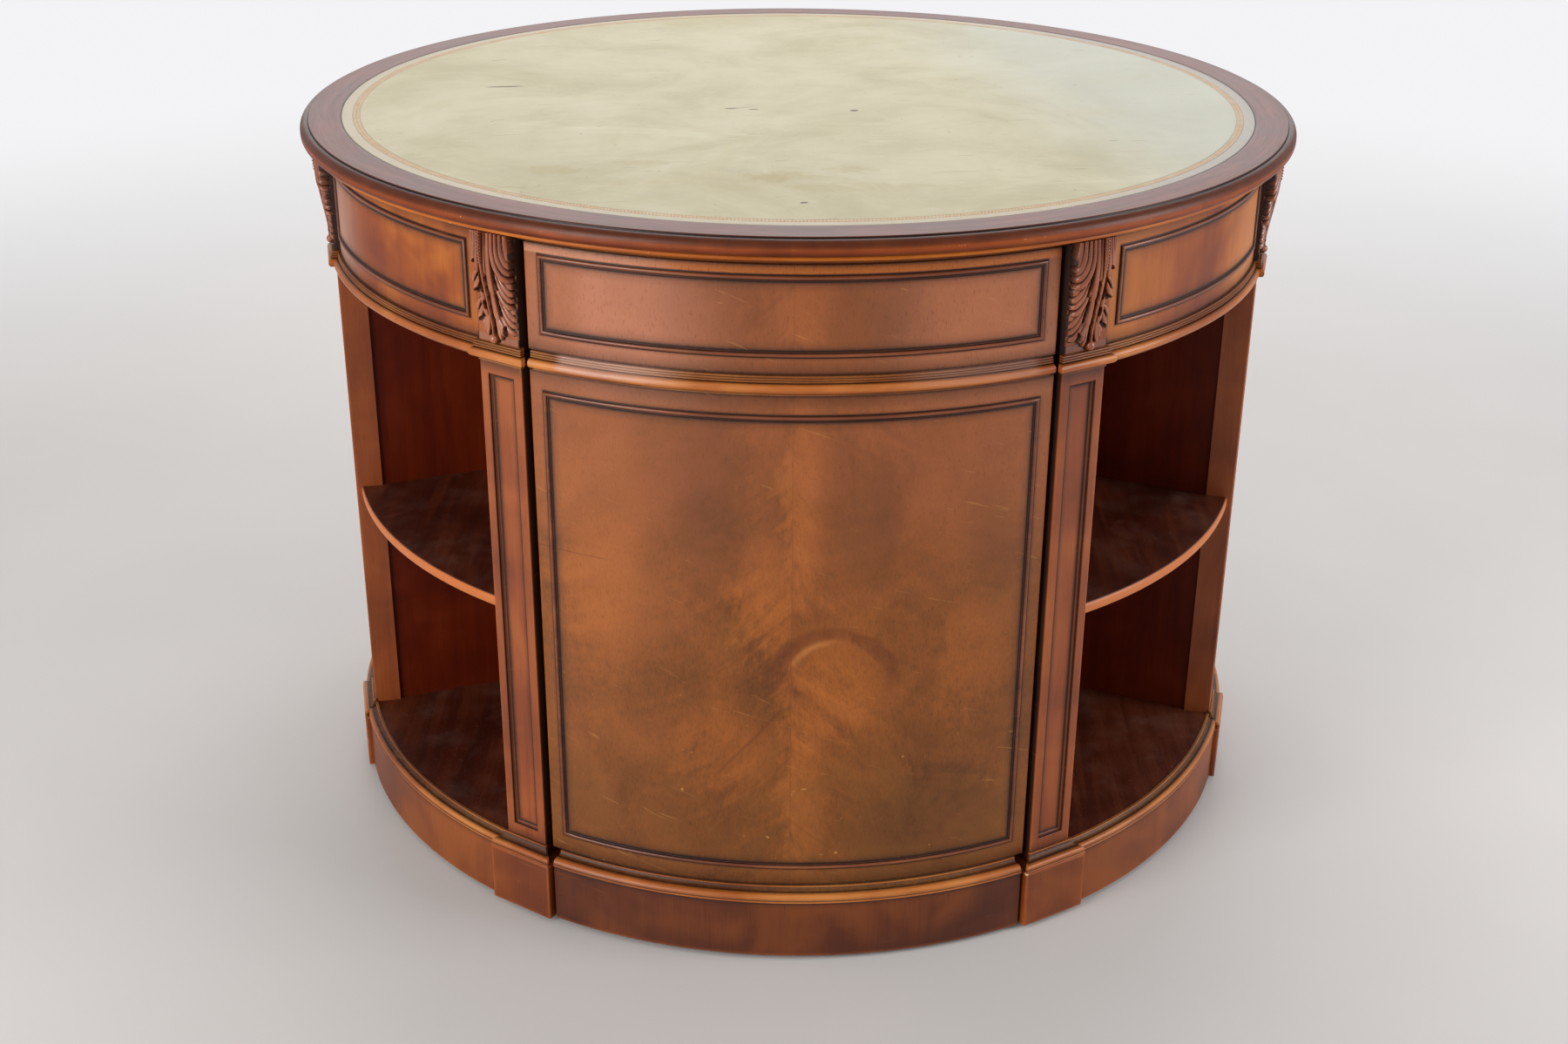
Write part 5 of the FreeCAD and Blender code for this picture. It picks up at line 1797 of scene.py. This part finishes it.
def make_cushion(name, node, outline, place, low, high, face, cap, fit, above):
    """A boxed hide cushion with a cord in each of its two welts and a row of stitches.

    Place puts outline points at a depth, face is the depth of the panel one sits against.
    """
    mesh_size, sewn_reach, pressure = 5.0, 3.4, 4.0
    cord_radius, stitch_inset, stitch_spacing = 2.4, 5.6, 4.6
    count = len(outline)
    levels = np.linspace(low, high, 5)
    flat = np.vstack([np.column_stack((outline, np.full(count, level))) for level in levels])
    faces = grid_faces(len(levels), count, shut_columns=True)
    faces += [tuple(range(count)), tuple(range(len(flat) - count, len(flat)))]
    block = bpy.data.meshes.new(name + "_block")
    block.from_pydata(flat * MM, [], faces)
    facing_out(block)
    settings = {"mode": "VOXEL", "voxel_size": mesh_size * MM}
    mesh = made_plain(name, block, ("REMESH", settings))
    flat = points_of(mesh) / MM
    points = place(flat[:, :2], flat[:, 2]) * MM
    mesh.vertices.foreach_set("co", points.ravel())
    facing_out(mesh)
    welts = [place(outline, np.full(count, level)) for level in (low, high)]
    gap = np.minimum(*(gap_to(points / MM, welt) for welt in welts))
    points = stuffed(mesh, gap < sewn_reach, cap * MM, pressure) / MM
    ends = np.array([edge.vertices[:] for edge in mesh.edges])
    for _ in range(3):
        total = np.zeros_like(points)
        links = np.zeros(len(points))
        for first, second in ((0, 1), (1, 0)):
            np.add.at(total, ends[:, first], points[ends[:, second]])
            np.add.at(links, ends[:, first], 1)
        points = 0.5 * points + 0.5 * total / links[:, None]
    points = fit(points)
    mesh.vertices.foreach_set("co", (points * MM).ravel())
    gap = np.minimum(*(gap_to(points, welt) for welt in welts))
    # Painted shade darkens the hide in the creases along the welts.
    crease = np.clip(1 - (gap - 2.0) / 7.0, 0, 1)
    grime = mesh.attributes.new("grime", "FLOAT", "POINT")
    grime.data.foreach_set("value", crease.astype(np.float32))
    mesh = made_plain(name, mesh, ("SUBSURF", {"levels": 1, "render_levels": 1}))
    piece = finished(name, mesh, hide, "chair", node, sharp=180.0)
    cords = Stock()
    cord_outline = inset_outline(outline, -1.0)
    for level, welt in zip((low, high), welts):
        corded(cords, place(cord_outline, np.full(count, level)), above(welt), cord_radius)
    cords.piece(name + "_cords", hide, "chair", sharp=180.0)
    tree = BVHTree.FromPolygons(
        [vertex.co for vertex in mesh.vertices], [face.vertices for face in mesh.polygons]
    )
    stitches = []
    row = place(inset_outline(outline, stitch_inset), np.full(count, face))
    for point, way in zip(row, above(row)):
        toward = Vector(way) * (1 if face > high - 1 else -1)
        hit = tree.ray_cast(Vector(point * MM) + toward * 0.06, -toward)[0]
        stitches.append(np.array(hit) / MM)
    stitches.append(stitches[0])
    sizes = (0.42, 0.42, 1.6)
    row = [stitches]
    beads_along(
        name + "_stitches", row, thread, "chair", stitch_spacing, sizes, 6, "seat_leather"
    )


def make_cushions():
    seat_front = -64.6
    seat_depth = 400.0
    seat_rear = 474.0
    pad_radius = 465.0

    def seat_place(plan, level):
        rear = -np.sqrt(seat_rear**2 - plan[:, 0] ** 2)
        y = seat_front + plan[:, 1] / seat_depth * (rear - seat_front)
        return np.stack((plan[:, 0], y, level), axis=-1)

    def seat_fit(points):
        out = np.hypot(points[:, 0], points[:, 1])
        ceiling = np.interp(out, [425.0, 447.0], [478.0, 469.6])
        side = np.clip(points[:, 0], -193.0, 193.0)
        front = np.minimum(points[:, 1], -56.6)
        scale = np.minimum(1, 482.4 / out)
        up = np.clip(points[:, 2], 415.3, ceiling)
        return np.stack((side * scale, front * scale, up), axis=-1)

    def back_place(face, out):
        return turned(out, face[:, 0] / pad_radius, face[:, 1])

    def back_fit(points):
        out = np.hypot(points[:, 0], points[:, 1])
        scale = np.clip(out, 447.6, 482.4) / out
        up = np.clip(points[:, 2], 470.7, 696.0)
        return np.stack((points[:, 0] * scale, points[:, 1] * scale, up), axis=-1)

    def upright(line):
        return np.tile((0.0, 0.0, 1.0), (len(line), 1))

    def outward(line):
        flat = line * (1.0, 1.0, 0.0)
        return flat / np.linalg.norm(flat, axis=1)[:, None]

    for name, outline, place, levels, cap, fit, above in (
        (
            "seat_cushion",
            sewn_outline(184.4, 0.0, seat_depth, 22.0, 3.0),
            seat_place,
            (421.0, 457.0, 457.0),
            17.0,
            seat_fit,
            upright,
        ),
        (
            "back_cushion",
            sewn_outline(173.0, 477.0, 689.0, 20.0, 2.5),
            back_place,
            (458.0, 478.0, 458.0),
            12.0,
            back_fit,
            outward,
        ),
    ):
        make_cushion(name, "chair_" + name, outline, place, *levels, cap, fit, above)


def finish_nodes():
    """Finishes for the solids that stay as they are."""
    kept = {
        carcase: "partition_left partition_right rear_partitions back_panels"
        " kneehole_side_left kneehole_side_right kneehole_back",
        board_wood: "bottom_board",
        chair_wood: "chair_seat_rails chair_seat_board chair_arm_left chair_arm_right"
        " chair_arm_supports chair_front_legs chair_rear_legs",
        nylon: "glides chair_glides",
    }
    for material, names in kept.items():
        for name in names.split():
            mesh = nodes[name].data
            mesh.materials.clear()
            mesh.materials.append(material)


# ------------------------------------------------------------ room, light and camera


def make_room():
    bpy.ops.mesh.primitive_plane_add(size=12.0, location=(0, 0, 0))
    floor = bpy.context.active_object
    floor.name = "floor"
    paint = Finish("floor_paint")
    x, y, _ = paint.split(paint.place())
    grey = paint.cloud(paint.place(), 3.0, 2.0)
    away = ((x * x + y * y) ** 0.5).rise(1.3, 3.6)
    near = paint.blend(grey, tone(196, 192, 189), tone(203, 199, 196))
    paint.set(base_color=near, roughness=0.62, specular_ior_level=0.2)
    # Far from the desk the floor runs into the pale wall, for the camera only.
    glow = paint.node("ShaderNodeEmission", values={"Color": tone(243, 243, 245)})
    seen = paint.node("ShaderNodeLightPath", output="Is Camera Ray")
    values = {0: away * seen, 1: Wire(paint, paint.shader.outputs[0]), 2: glow}
    mixed = paint.node("ShaderNodeMixShader", values=values)
    paint.tree.links.new(mixed.socket, paint.output.inputs[0])
    floor.data.materials.append(paint.material)
    floor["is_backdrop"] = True

    world = bpy.data.worlds.new("room")
    bpy.context.scene.world = world
    world.use_nodes = True
    tree = world.node_tree
    tree.nodes.clear()
    output = tree.nodes.new("ShaderNodeOutputWorld")
    mix = tree.nodes.new("ShaderNodeMixShader")
    wall = tree.nodes.new("ShaderNodeBackground")
    wall.inputs[0].default_value = tone(242, 242, 245)
    light = tree.nodes.new("ShaderNodeBackground")
    light.inputs[0].default_value = (0.95, 0.97, 1.0, 1.0)
    light.inputs[1].default_value = 0.5
    path = tree.nodes.new("ShaderNodeLightPath")
    tree.links.new(path.outputs["Is Camera Ray"], mix.inputs[0])
    tree.links.new(light.outputs[0], mix.inputs[1])
    tree.links.new(wall.outputs[0], mix.inputs[2])
    tree.links.new(mix.outputs[0], output.inputs[0])

    def lamp(name, place, looks_at, size, watts, colour):
        data = bpy.data.lights.new(name, "AREA")
        data.shape = "RECTANGLE"
        data.size, data.size_y = size
        data.energy = watts
        data.color = colour
        made = placed(name, data)
        made.location = place
        way = Vector((0.0, 0.0, looks_at)) - Vector(place)
        made.rotation_euler = way.to_track_quat("-Z", "Y").to_euler()
        made.visible_camera = False

    # Each lamp's place, the height it looks at, its width and height, watts and colour.
    lamp("window", (-2.3, -2.6, 1.7), 0.4, (1.6, 2.0), 64, (1.0, 0.98, 0.95))
    lamp("low window", (-2.3, -2.2, 0.8), 0.5, (1.4, 1.0), 20, (1.0, 0.98, 0.96))
    lamp("fill", (2.8, -0.9, 1.3), 0.4, (1.4, 1.6), 50, (0.98, 0.98, 1.0))
    lamp("pale wall", (0.0, 3.2, 1.6), 0.6, (4.4, 2.2), 32, (1.0, 1.0, 1.0))
    lamp("ceiling", (0.0, 2.0, 3.0), 0.7, (2.4, 2.0), 48, (1.0, 0.99, 0.98))


def make_camera():
    yaw, pitch, roll = -0.0142, 0.4319, 0.0068
    ahead = Vector(
        (math.sin(yaw) * math.cos(pitch), math.cos(yaw) * math.cos(pitch), -math.sin(pitch))
    )
    right = ahead.cross(Vector((0, 0, 1))).normalized()
    above = right.cross(ahead)
    side = math.cos(roll) * right + math.sin(roll) * above
    top = -math.sin(roll) * right + math.cos(roll) * above
    data = bpy.data.cameras.new("camera")
    data.sensor_width = 36.0
    data.lens = 46.3
    camera = placed("camera", data)
    turn = Matrix((side, top, -ahead)).transposed()
    camera.matrix_world = Matrix.Translation((0.0192, -2.206, 1.2717)) @ turn.to_4x4()
    bpy.context.scene.camera = camera


make_camera()
make_top()
make_posts()
make_post_trim()
make_leaves()
make_leaf_beads()
make_tooling()
make_friezes()
make_chair_back()
make_shelves()
make_cushions()
finish_nodes()
make_room()
bpy.context.scene.view_settings.view_transform = "Standard"

bpy.context.view_layer.update()
sizes = {"cad": cad_box, "visual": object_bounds()}
{key: [list(corner) for corner in box] for key, box in sizes.items()}
